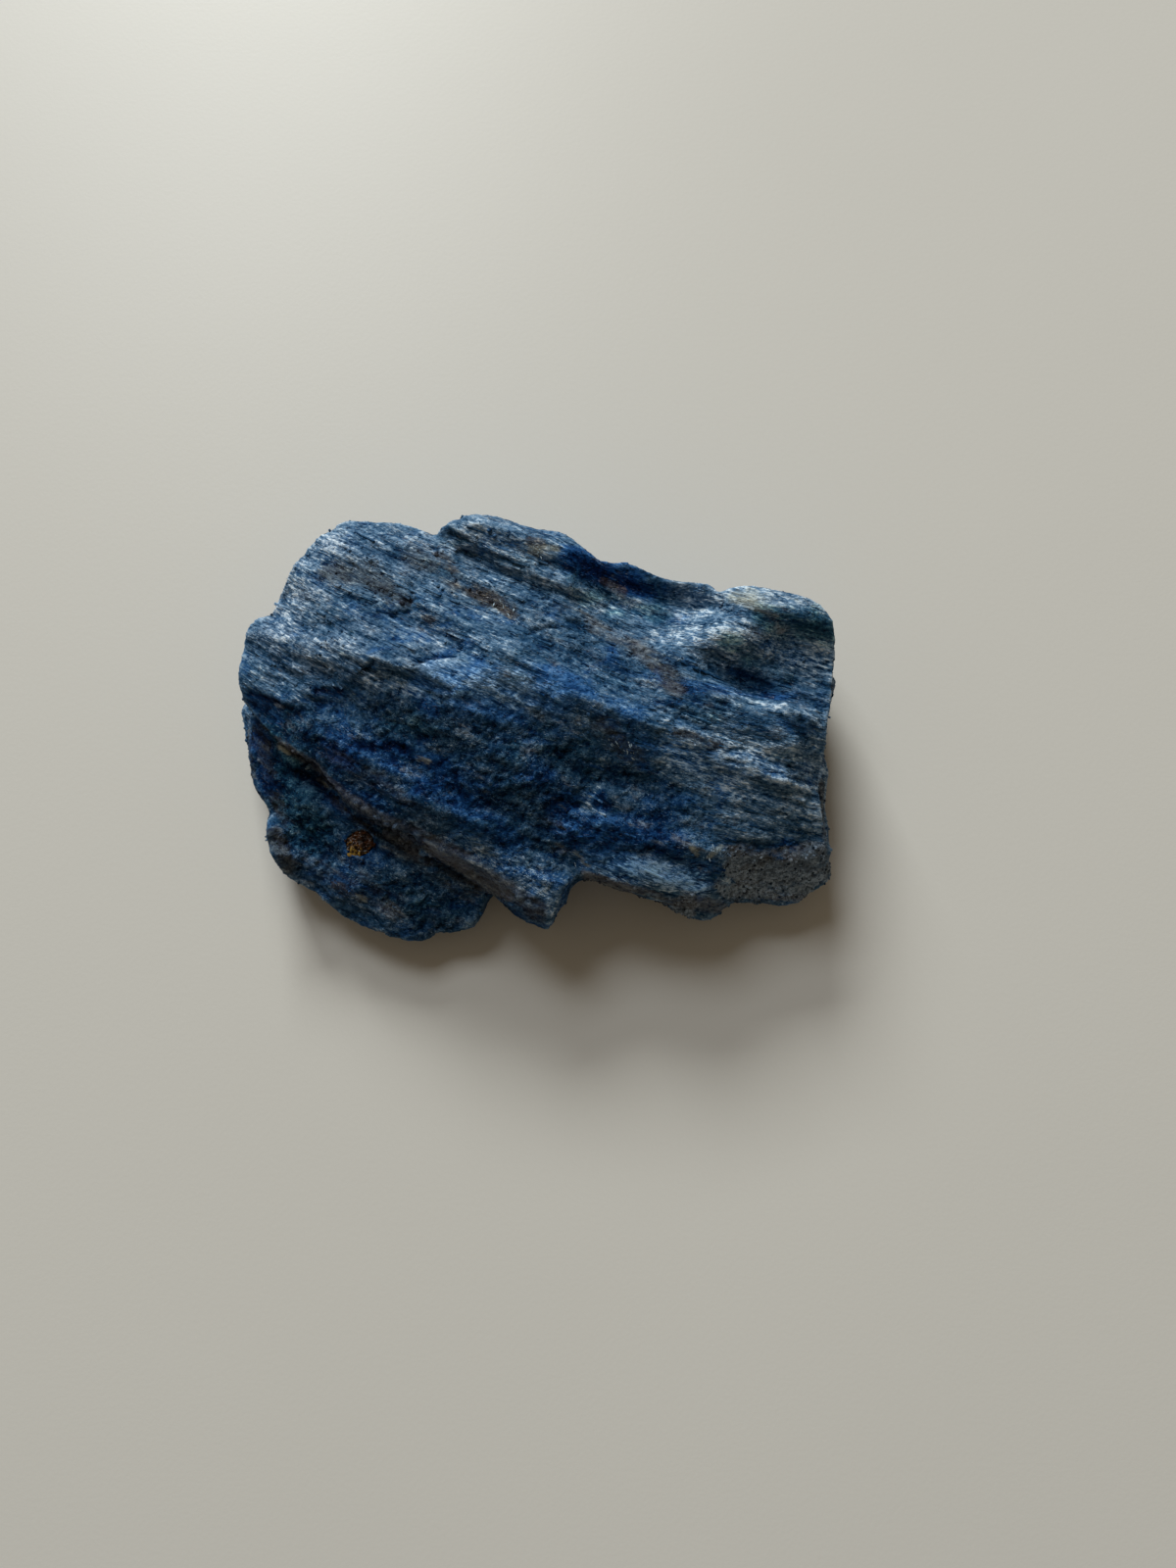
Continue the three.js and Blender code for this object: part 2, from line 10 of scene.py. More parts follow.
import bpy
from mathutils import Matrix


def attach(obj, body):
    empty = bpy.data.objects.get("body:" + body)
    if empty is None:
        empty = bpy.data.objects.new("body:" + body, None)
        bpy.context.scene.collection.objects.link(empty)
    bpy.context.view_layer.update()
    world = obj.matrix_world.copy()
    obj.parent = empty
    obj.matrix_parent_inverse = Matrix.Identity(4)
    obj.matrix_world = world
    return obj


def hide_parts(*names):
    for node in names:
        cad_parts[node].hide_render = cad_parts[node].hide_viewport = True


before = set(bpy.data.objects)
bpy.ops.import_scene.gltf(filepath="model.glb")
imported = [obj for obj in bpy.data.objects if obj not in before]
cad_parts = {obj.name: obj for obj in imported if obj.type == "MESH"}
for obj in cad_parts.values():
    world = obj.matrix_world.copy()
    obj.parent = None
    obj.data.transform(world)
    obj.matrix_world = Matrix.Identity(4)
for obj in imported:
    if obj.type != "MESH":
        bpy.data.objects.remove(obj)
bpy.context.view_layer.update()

import logging
import math
from dataclasses import dataclass, field
from enum import Enum
from typing import Any

import bmesh
import bpy
import numpy as np
from mathutils import Matrix, Vector

LOG = logging.getLogger("sodalite_cluster")
BODY = "root"
STONE_NODE = "sodalite_stone"
MM = 0.001
PER_SQUARE_MM = 1e6  # points a square metre, for one a square millimetre
MERGE = 1e-6  # corners of the solid that are nearer than this, in metres, are one
GRAIN_FALL = -0.41  # slope of the needles across the plan, at the stone's middle
GRAIN_BEND = 0.002  # half of that slope's change, per millimetre along the stone
LAYER_LEAN = 0.22  # how far the needle layers lean back, per millimetre of height
LAYER_DEPTH = 0.22  # how quickly they change within a layer
SIDE_SHARE = 0.8  # weight of a normal's part along the needles, against that across them
SIDE_FROM, SIDE_TO = 0.30, 0.62  # the excess across them that makes a long side
CLEAR_FROM, CLEAR_TO = 0.5, 1.2  # heights between which things start to grow on the skin
SWELL_SPREAD = 3.4  # spreads noise over about -1 to 1
CREST = 1.6  # how sharp the crests of ridged noise are
SHIFT_WAY = (1.0, 1.7, 0.6)  # the way that a noise's shift moves it
STROKE_CORE = 1.25  # a stroke is full out to a third of its width
STROKE_FALL = 0.75  # and gone at five thirds of it

Point = tuple[float, float]
Colour = tuple[float, float, float]


class Zone(Enum):
    """Painted masks of the stone, by the name of their mesh attribute."""

    PALE_AND_PAINTED_LIGHT = "pale"  # silky pale needles, and painted light laid over places in shade
    NAVY_AND_SHADE = "navy"  # dark blue, and painted shade in creases, under ledges and on faces turned from the light
    TEAL = "teal"  # a greener blue
    RUST = "rust"  # brown stains
    MATRIX = "matrix"  # olive and brown rock between the needles
    CREAM = "cream"  # milky edges
    GRANULAR = "granular"  # grey rock made of grains
    MATTED = "matted"  # dark felted fibres that keep no course
    MICA = "mica"  # nests of flakes
    TURN = "turn"  # how far the needles turn off their course, in radians
    SMOOTH = "smooth"  # low relief
    RIDGE = "ridge"  # raised lines, lightened with a painted highlight
    CLEFT = "cleft"  # sunk lines, darkened with painted shade
    RUBBLE = "rubble"  # larger crumbs
    SEAM = "seam"  # mauve and tan seams
    LILAC = "lilac"  # blue that leans to lavender
    TALUS = "talus"  # rock fallen from the slab onto the shelf
    GLINT = "glint"  # painted glints: needles and streaks painted brightest as highlights
    ROYAL = "royal"  # strong blue
    WALL = "wall"  # steep sides, found by their slope and not painted


class Trait(Enum):
    """What the relief leaves on the skin, by the name of its mesh attribute."""

    LIE = "lie"  # the smooth normal
    TONE = "tone"  # how light the fibres are
    HOLLOW = "hollow"  # how far a point lies in a small dip
    RIM = "rim"  # how far it lies in a broad one, below 0 on an edge


class Form(Enum):
    """Shapes that a needle of the stone can have."""

    SPINDLE = "spindle"
    BLADE = "blade"


class Link:
    """One socket of a node tree that can be used in arithmetic."""

    def __init__(self, graph: "Graph", socket: bpy.types.NodeSocket | None) -> None:
        """Wraps a socket.

        Args:
            graph: The tree that new nodes go into.
            socket: The output socket, or None for a node that has none.
        """
        self.graph = graph
        self.socket = socket

    def other(self, name: str) -> "Link":
        """Another output of the same node, by its name."""
        return Link(self.graph, self.socket.node.outputs[name])

    def __add__(self, term: "Link | float") -> "Link":
        """Sum."""
        return self.graph.math("ADD", self, term)

    def __sub__(self, term: "Link | float") -> "Link":
        """Difference."""
        return self.graph.math("SUBTRACT", self, term)

    def __rsub__(self, term: "Link | float") -> "Link":
        """Difference with the number first."""
        return self.graph.math("SUBTRACT", term, self)

    def __mul__(self, term: "Link | float") -> "Link":
        """Product."""
        return self.graph.math("MULTIPLY", self, term)

    def __truediv__(self, term: "Link | float") -> "Link":
        """Quotient."""
        return self.graph.math("DIVIDE", self, term)

    def __pow__(self, term: "Link | float") -> "Link":
        """Power."""
        return self.graph.math("POWER", self, term)

    def __abs__(self) -> "Link":
        """Size without its sign."""
        return self.graph.math("ABSOLUTE", self)

    __radd__ = __add__
    __rmul__ = __mul__


class Graph:
    """A shader or geometry node tree, written as expressions."""

    def __init__(self, tree: bpy.types.NodeTree) -> None:
        """Starts on a tree.

        Args:
            tree: The node tree to add to.
        """
        self.tree = tree

    def node(self, kind: str, settings: dict[str, Any] | None = None,
             feeds: dict[str, Any] | None = None, output: str = "") -> Link:
        """Adds one node.

        Args:
            kind: Blender's name of the node's type.
            settings: The node's own properties, set first; "stops" fills a ramp.
            feeds: Values or links by the identifier of their input socket.
            output: Identifier of the output to return, or "" for the first in use.

        Returns:
            The chosen output.
        """
        made = self.tree.nodes.new(kind)
        for name, value in (settings or {}).items():
            if name == "stops":
                self._fill_ramp(made.color_ramp, value)
            else:
                setattr(made, name, value)
        sockets = {socket.identifier: socket for socket in made.inputs}
        for name, value in (feeds or {}).items():
            if isinstance(value, Link):
                self.tree.links.new(value.socket, sockets[name])
            else:
                sockets[name].default_value = value
        outs = [socket for socket in made.outputs if socket.enabled]
        if output:
            outs = [socket for socket in outs if socket.identifier == output]
        return Link(self, outs[0] if outs else None)

    @staticmethod
    def _fill_ramp(ramp: bpy.types.ColorRamp, stops: list[tuple[float, Colour]]) -> None:
        """Sets the stops of a colour ramp.

        Args:
            ramp: The ramp.
            stops: Places from 0 to 1 with their colours.
        """
        while len(ramp.elements) < len(stops):
            ramp.elements.new(1.0)
        for element, (place, colour) in zip(ramp.elements, stops):
            element.position = place
            element.color = (*colour, 1.0)

    def math(self, operation: str, *terms: "Link | float") -> Link:
        """Adds a Math node.

        Args:
            operation: The node's operation.
            terms: One or two values or links.

        Returns:
            The result.
        """
        names = ("Value", "Value_001")
        return self.node("ShaderNodeMath", {"operation": operation},
                         dict(zip(names, terms)))

    def vector(self, operation: str, *terms: Any, output: str = "Vector") -> Link:
        """Adds a Vector Math node.

        Args:
            operation: The node's operation.
            terms: Vectors as links or tuples.
            output: "Vector", or "Value" for a number.

        Returns:
            The result.
        """
        names = ("Vector", "Vector_001", "Vector_002")
        return self.node("ShaderNodeVectorMath", {"operation": operation},
                         dict(zip(names, terms)), output)

    def scaled(self, vector: Any, amount: "Link | float") -> Link:
        """A vector times a number."""
        return self.node("ShaderNodeVectorMath", {"operation": "SCALE"},
                         {"Vector": vector, "Scale": amount})

    def parts(self, vector: Link) -> tuple[Link, Link, Link]:
        """The X, Y and Z of a vector."""
        split = self.node("ShaderNodeSeparateXYZ", feeds={"Vector": vector})
        return split, split.other("Y"), split.other("Z")

    def joined(self, x: Any, y: Any, z: Any) -> Link:
        """A vector from three numbers."""
        return self.node("ShaderNodeCombineXYZ", feeds={"X": x, "Y": y, "Z": z})

    def dot(self, first: Link, second: Link) -> Link:
        """The dot product of two vectors."""
        return self.vector("DOT_PRODUCT", first, second, output="Value")

    def clamped(self, value: Link, low: float = 0.0, high: float = 1.0) -> Link:
        """A number kept between two others."""
        return self.math("MINIMUM", self.math("MAXIMUM", value, low), high)

    def step(self, value: Any, low: Any, high: Any) -> Link:
        """A smooth step from 0 at low to 1 at high."""
        return self.node("ShaderNodeMapRange", {"interpolation_type": "SMOOTHSTEP"},
                         {"Value": value, "From Min": low, "From Max": high})

    def blend(self, amount: Any, low: Any, high: Any) -> Link:
        """A number between two others."""
        return self.node("ShaderNodeMix", {"data_type": "FLOAT"},
                         {"Factor_Float": amount, "A_Float": low, "B_Float": high})

    def tint(self, amount: Any, under: Any, over: Any, way: str = "MIX") -> Link:
        """Mixes two colours.

        Args:
            amount: How much of the second, from 0 to 1.
            under: First colour, a link or three numbers.
            over: Second colour, a link or three numbers.
            way: The Mix node's blend type.

        Returns:
            The mixed colour.
        """
        feeds = {"Factor_Float": amount}
        for name, colour in (("A_Color", under), ("B_Color", over)):
            feeds[name] = colour if isinstance(colour, Link) else (*colour, 1.0)
        return self.node("ShaderNodeMix", {"data_type": "RGBA", "blend_type": way}, feeds)

    def noise(self, place: Link, stretch: Any, shift: float = 0.0, detail: float = 2.0,
              roughness: float = 0.5, distortion: float = 0.0) -> Link:
        """Noise from 0 to 1 around one half.

        Args:
            place: Where it is read, in millimetres.
            stretch: Waves per millimetre along each axis.
            shift: Offset that makes this noise its own.
            detail: Finer layers.
            roughness: Strength of the finer layers.
            distortion: How far the waves are bent.

        Returns:
            The noise.
        """
        spot = self.vector("MULTIPLY_ADD", place, stretch,
                           tuple(shift * way for way in SHIFT_WAY))
        return self.node("ShaderNodeTexNoise", feeds={
            "Vector": spot, "Scale": 1.0, "Detail": detail, "Roughness": roughness,
            "Distortion": distortion})

    def cells(self, place: Link, scale: float, shift: float = 0.0) -> Link:
        """Distance to the nearest of scattered points, about 0 to 1."""
        spot = self.vector("MULTIPLY_ADD", place, (scale,) * 3, (shift,) * 3)
        return self.node("ShaderNodeTexVoronoi", feeds={"Vector": spot, "Scale": 1.0})

    def swell(self, place: Link, stretch: Any, shift: float = 0.0, detail: float = 2.0,
              roughness: float = 0.5, distortion: float = 0.0) -> Link:
        """Noise spread over about -1 to 1, with the same arguments as noise."""
        wave = self.noise(place, stretch, shift, detail, roughness, distortion)
        return (wave - 0.5) * SWELL_SPREAD

    def combed(self, along: Link, side: Link, stretch: tuple[float, float, float],
               *wave: float) -> Link:
        """A swell whose streaks lie level on the stone's long sides.

        Args:
            along: Place in the leaning needle layers.
            side: 1 where the surface faces across the needles.
            stretch: Waves per millimetre along each axis.
            wave: Shift, detail, roughness and distortion of the swell.

        Returns:
            The swell.
        """
        return self.blend(side, self.swell(along, stretch, *wave),
                          self.swell(self.level(along), stretch, *wave))

    def level(self, along: Link) -> Link:
        """Place along the needles, across them and up, from one in their leaning layers."""
        x, across, depth = self.parts(along)
        return self.joined(x, across - depth * (LAYER_LEAN / LAYER_DEPTH),
                           depth * (1.0 / LAYER_DEPTH))

    def sideness(self, lie: Link) -> Link:
        """1 where a smooth normal points across the needles more than along them."""
        x, y, _ = self.parts(lie)
        return self.step(abs(y) - abs(x) * SIDE_SHARE, SIDE_FROM, SIDE_TO)

    def strands(self, wave: Link, breadth: float) -> Link:
        """Thin lines, 1 where a swell passes through 0."""
        return 1.0 - self.step(abs(wave), 0.0, breadth)

    def ridged(self, wave: Link) -> Link:
        """Turns noise into sharp crests: 1 on a crest, towards 0 in the troughs."""
        return 1.0 - abs(wave * 2.0 - 1.0) * CREST

    def grain(self, place_mm: Link) -> Link:
        """Turns a place into one in the leaning needle layers.

        Args:
            place_mm: Place in millimetres.

        Returns:
            Place along the needles, across their layers and within a layer.
        """
        x, y, z = self.parts(place_mm)
        across = y - x * GRAIN_FALL - x * x * GRAIN_BEND + z * LAYER_LEAN
        return self.joined(x, across, z * LAYER_DEPTH)


class ShaderGraph(Graph):
    """The node tree of one material."""

    def __init__(self, name: str) -> None:
        """Makes an empty material.

        Args:
            name: The material's name.
        """
        self.material = bpy.data.materials.new(name)
        self.material.use_nodes = True
        self.material.node_tree.nodes.clear()
        super().__init__(self.material.node_tree)
        self.place = self.scaled(self.node("ShaderNodeTexCoord", output="Object"), 1.0 / MM)

    def mask(self, name: Zone | Trait, output: str = "Fac") -> Link:
        """A stored number of the mesh, or a vector with the output "Vector"."""
        return self.node("ShaderNodeAttribute", {"attribute_name": name.value}, output=output)

    def patch(self, zone: Zone, wave: Link, low: float, high: float, ragged: float) -> Link:
        """A painted zone with an edge that a wave makes ragged."""
        return self.step(self.mask(zone) + wave * ragged, low, high)

    def leaned(self, amount: Link, under: Link, factor: Colour) -> Link:
        """Leans a colour towards another hue."""
        return self.tint(amount, under, self.tint(1.0, under, factor, "MULTIPLY"))

    def bump(self, height: Link, distance_mm: float, strength: float) -> Link:
        """A normal bumped by a height from 0 to 1."""
        return self.node("ShaderNodeBump", feeds={
            "Height": height, "Distance": distance_mm * MM, "Strength": strength})

    def finish(self, feeds: dict[str, Any]) -> bpy.types.Material:
        """Ends in a Principled surface.

        Args:
            feeds: Values or links of the surface's sockets.

        Returns:
            The material.
        """
        surface = self.node("ShaderNodeBsdfPrincipled", feeds=feeds)
        self.node("ShaderNodeOutputMaterial", feeds={"Surface": surface})
        return self.material


class ShapeGraph(Graph):
    """A Geometry Nodes tree with named sizes, run once on a mesh."""

    KINDS = {int: "NodeSocketInt", float: "NodeSocketFloat"}

    def __init__(self, name: str, sizes: dict[str, float | int]) -> None:
        """Makes the tree and its inputs.

        Args:
            name: Name of the tree.
            sizes: The named inputs with their values.
        """
        tree = bpy.data.node_groups.new(name, "GeometryNodeTree")
        super().__init__(tree)
        self.sizes = sizes
        tree.interface.new_socket("Geometry", in_out="INPUT", socket_type="NodeSocketGeometry")
        tree.interface.new_socket("Geometry", in_out="OUTPUT", socket_type="NodeSocketGeometry")
        self.keys: dict[str, str] = {}
        for size, value in sizes.items():
            socket = tree.interface.new_socket(size, in_out="INPUT",
                                               socket_type=self.KINDS[type(value)])
            self.keys[size] = socket.identifier
        self.given = tree.nodes.new("NodeGroupInput")
        self.place = self.scaled(self.node("GeometryNodeInputPosition"), 1.0 / MM)
        self.normal = self.node("GeometryNodeInputNormal", output="Normal")

    def size(self, name: str) -> Link:
        """One of the named inputs."""
        return Link(self, self.given.outputs[name])

    def base(self) -> Link:
        """The mesh that the tree is run on."""
        return Link(self, self.given.outputs["Geometry"])

    def mask(self, name: Zone | Trait, kind: str = "FLOAT") -> Link:
        """A stored number of the mesh, or a vector with the kind "FLOAT_VECTOR"."""
        return self.node("GeometryNodeInputNamedAttribute", {"data_type": kind},
                         {"Name": name.value}, "Attribute")

    def store(self, geometry: Link, name: Trait, value: Link, kind: str = "FLOAT") -> Link:
        """Stores a value on the points of a geometry."""
        return self.node("GeometryNodeStoreNamedAttribute",
                         {"data_type": kind, "domain": "POINT"},
                         {"Geometry": geometry, "Name": name.value, "Value": value})

    def sunken(self, rounds: int) -> Link:
        """How deep each point lies below the surface round it, blurred so many times."""
        blurred = self.node("GeometryNodeBlurAttribute", {"data_type": "FLOAT_VECTOR"},
                            {"Value": self.place, "Iterations": rounds}, "Value")
        return self.dot(self.vector("SUBTRACT", blurred, self.place), self.normal)

    def moved(self, geometry: Link, way: Link, distance_mm: Link) -> Link:
        """Moves each point of a geometry along a vector."""
        return self.node("GeometryNodeSetPosition", feeds={
            "Geometry": geometry, "Offset": self.scaled(way, distance_mm * MM)})

    def shaded(self, geometry: Link, smooth: bool) -> Link:
        """Shades a geometry smooth or flat."""
        return self.node("GeometryNodeSetShadeSmooth",
                         feeds={"Geometry": geometry, "Shade Smooth": smooth})

    def rod(self, corners: int) -> Link:
        """A prism of unit width and height, along Z."""
        return self.node("GeometryNodeMeshCylinder", feeds={
            "Vertices": corners, "Radius": 0.5, "Depth": 1.0}, output="Mesh")

    def clear(self) -> Link:
        """0 close to the desk and 1 above, where needles and crumbs may grow."""
        return self.step(self.parts(self.place)[2], CLEAR_FROM, CLEAR_TO)

    def strewn(self, share: Link) -> Link:
        """Points at random on the base mesh, so many to a share of the input Density."""
        wanted = self.size("Density") * share * PER_SQUARE_MM
        return self.node("GeometryNodeDistributePointsOnFaces",
                         {"distribute_method": "RANDOM"},
                         {"Mesh": self.base(), "Density": wanted, "Seed": self.size("Seed")},
                         "Points")

    def turned(self, axes: str, first: Link, second: Link) -> Link:
        """The turn that lays one axis along a vector and a second towards another.

        Args:
            axes: The two axes' letters, such as "XZ".
            first: Where the first axis points.
            second: What the second axis leans towards.

        Returns:
            The rotation.
        """
        return self.node("FunctionNodeAxesToRotation",
                         {"primary_axis": axes[0], "secondary_axis": axes[1]},
                         {"Primary Axis": first, "Secondary Axis": second})

    def grown(self, points: Link, shape: Link, turn: Link, sizes_mm: Link) -> Link:
        """Puts a flat-shaded copy of a shape on every point.

        Args:
            points: The points.
            shape: A shape of unit size.
            turn: How each copy is turned.
            sizes_mm: Length, breadth and thickness of each copy.

        Returns:
            The copies.
        """
        return self.node("GeometryNodeInstanceOnPoints", feeds={
            "Points": points, "Instance": self.shaded(shape, False), "Rotation": turn,
            "Scale": self.scaled(sizes_mm, MM)})

    def random(self, seed: int, low: float = 0.0, high: float = 1.0) -> Link:
        """A random number for each point."""
        return self.node("FunctionNodeRandomValue", {"data_type": "FLOAT"},
                         {"Min_001": low, "Max_001": high,
                          "Seed": self.size("Seed") + float(seed)}, "Value_001")

    def random_vector(self, seed: int) -> Link:
        """A random vector for each point, from -1 to 1 on each axis."""
        return self.node("FunctionNodeRandomValue", {"data_type": "FLOAT_VECTOR"},
                         {"Min": (-1.0,) * 3, "Max": (1.0,) * 3,
                          "Seed": self.size("Seed") + float(seed)}, "Value")

    def run(self, name: str, mesh: bpy.types.Mesh, result: Link,
            material: bpy.types.Material) -> bpy.types.Object:
        """Ends the tree and turns its result into a plain mesh.

        Args:
            name: Name of the new piece.
            mesh: The mesh that the tree is run on.
            result: The geometry that the tree ends in.
            material: The finish.

        Returns:
            The new object, at the origin, with no modifier.
        """
        real = self.node("GeometryNodeRealizeInstances", feeds={"Geometry": result})
        dressed = self.node("GeometryNodeSetMaterial",
                            feeds={"Geometry": real, "Material": material})
        end = self.tree.nodes.new("NodeGroupOutput")
        self.tree.links.new(dressed.socket, end.inputs["Geometry"])
        holder = placed(name + "_base", mesh)
        modifier = holder.modifiers.new("shape", "NODES")
        modifier.node_group = self.tree
        for size, value in self.sizes.items():
            modifier[self.keys[size]] = value
        made = plain_mesh(holder, True)
        made.name = name
        return placed(name, made)


def placed(name: str, data: bpy.types.ID) -> bpy.types.Object:
    """Puts a new object into the scene, at the origin.

    Args:
        name: The object's name.
        data: Its mesh, light or camera.

    Returns:
        The object.
    """
    made = bpy.data.objects.new(name, data)
    bpy.context.scene.collection.objects.link(made)
    return made


def plain_mesh(holder: bpy.types.Object, layers: bool = False) -> bpy.types.Mesh:
    """Turns an object with modifiers into a plain mesh, and removes the object.

    Args:
        holder: The object.
        layers: Whether the mesh keeps its attributes.

    Returns:
        The mesh.
    """
    bpy.context.view_layer.update()
    graph = bpy.context.evaluated_depsgraph_get()
    mesh = bpy.data.meshes.new_from_object(holder.evaluated_get(graph),
                                           preserve_all_data_layers=layers, depsgraph=graph)
    bpy.data.objects.remove(holder)
    return mesh


def mesh_from(name: str, bm: bmesh.types.BMesh) -> bpy.types.Mesh:
    """Writes a working mesh into a new mesh, sorted by place, and frees it.

    Args:
        name: The new mesh's name.
        bm: The working mesh, whose faces may come in any order.

    Returns:
        The new mesh, with the same order each run.
    """
    verts = sorted(bm.verts, key=lambda vert: vert.co[:])
    numbers = {vert: number for number, vert in enumerate(verts)}
    faces = []
    for face in bm.faces:
        corners = [numbers[vert] for vert in face.verts]
        first = corners.index(min(corners))
        faces.append(corners[first:] + corners[:first])
    mesh = bpy.data.meshes.new(name)
    mesh.from_pydata([vert.co[:] for vert in verts], [], sorted(faces))
    bm.free()
    return mesh


def faded(values: np.ndarray, start: float, span: float, least: float = 0.0) -> np.ndarray:
    """Grows from the least to 1 as the values pass over a span, which may be below 0."""
    return np.clip((values - start) / span, least, 1.0)


def settle(piece: bpy.types.Object, *replaced: str) -> None:
    """Ties a finished piece to the stone's body.

    Args:
        piece: The finished piece.
        replaced: CAD nodes that it stands for.
    """
    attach(piece, BODY)
    if replaced:
        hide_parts(*replaced)
    piece.data.calc_loop_triangles()
    LOG.info("%s: %d triangles", piece.name, len(piece.data.loop_triangles))


# ---------------------------------------------------------------- finishes


class Weave:
    """Swells and masks that the parts of the blue finish share."""

    def __init__(self, g: ShaderGraph) -> None:
        """Adds them to a material.

        Args:
            g: The material's tree.
        """
        along = g.grain(g.place)
        side = g.sideness(g.mask(Trait.LIE, "Vector"))
        self.threads = g.combed(along, side, (0.30, 1.55, 1.55), 3.0, 5.0, 0.74, 0.35)
        self.dashes = g.combed(along, side, (1.15, 2.9, 2.9), 11.0, 1.0, 0.5, 0.3)
        self.bundles = g.swell(along, (0.07, 0.40, 0.40), 21.0, 2.0, 0.5, 0.5)
        self.felt = g.swell(g.place, (1.45, 1.7, 1.7), 31.0, 4.0, 0.78, 1.2)
        self.cloud = g.swell(g.place, (0.20, 0.29, 0.29), 41.0, 4.0, 0.62, 0.5)
        self.hue = g.swell(g.place, (0.15, 0.26, 0.26), 47.0, 4.0, 0.62, 0.8)
        self.patchy = g.swell(along, (0.24, 0.62, 0.62), 51.0, 5.0, 0.66, 0.6)
        self.grit = g.swell(g.place, (1.9, 2.0, 2.0), 61.0, 2.0, 0.75)
        self.tone = g.mask(Trait.TONE)
        # pale needles, and painted light over places in shade
        self.pale = g.mask(Zone.PALE_AND_PAINTED_LIGHT)
        self.matted = g.mask(Zone.MATTED)
        streak = g.blend(self.matted * 0.90, self.threads * 0.66 + self.dashes * 0.60,
                         self.felt * 1.05)
        self.streak = streak + self.grit * 0.80
        lines = g.combed(along, side, (0.15, 1.25, 1.25), 71.0, 3.0, 0.60, 0.4)
        web = g.swell(g.place, (0.68, 0.80, 0.80), 81.0, 4.0, 0.66, 1.0)
        net = g.swell(g.place, (1.25, 1.45, 1.45), 91.0, 3.0, 0.60, 1.0)
        hair = g.blend(self.matted * 0.95, g.strands(lines, 0.085), g.strands(web, 0.085))
        hair = g.math("MAXIMUM", hair, g.strands(net, 0.11) * (0.12 + self.matted * 0.62))
        self.hair = hair * g.step(self.patchy + self.cloud, -0.7, 0.5)


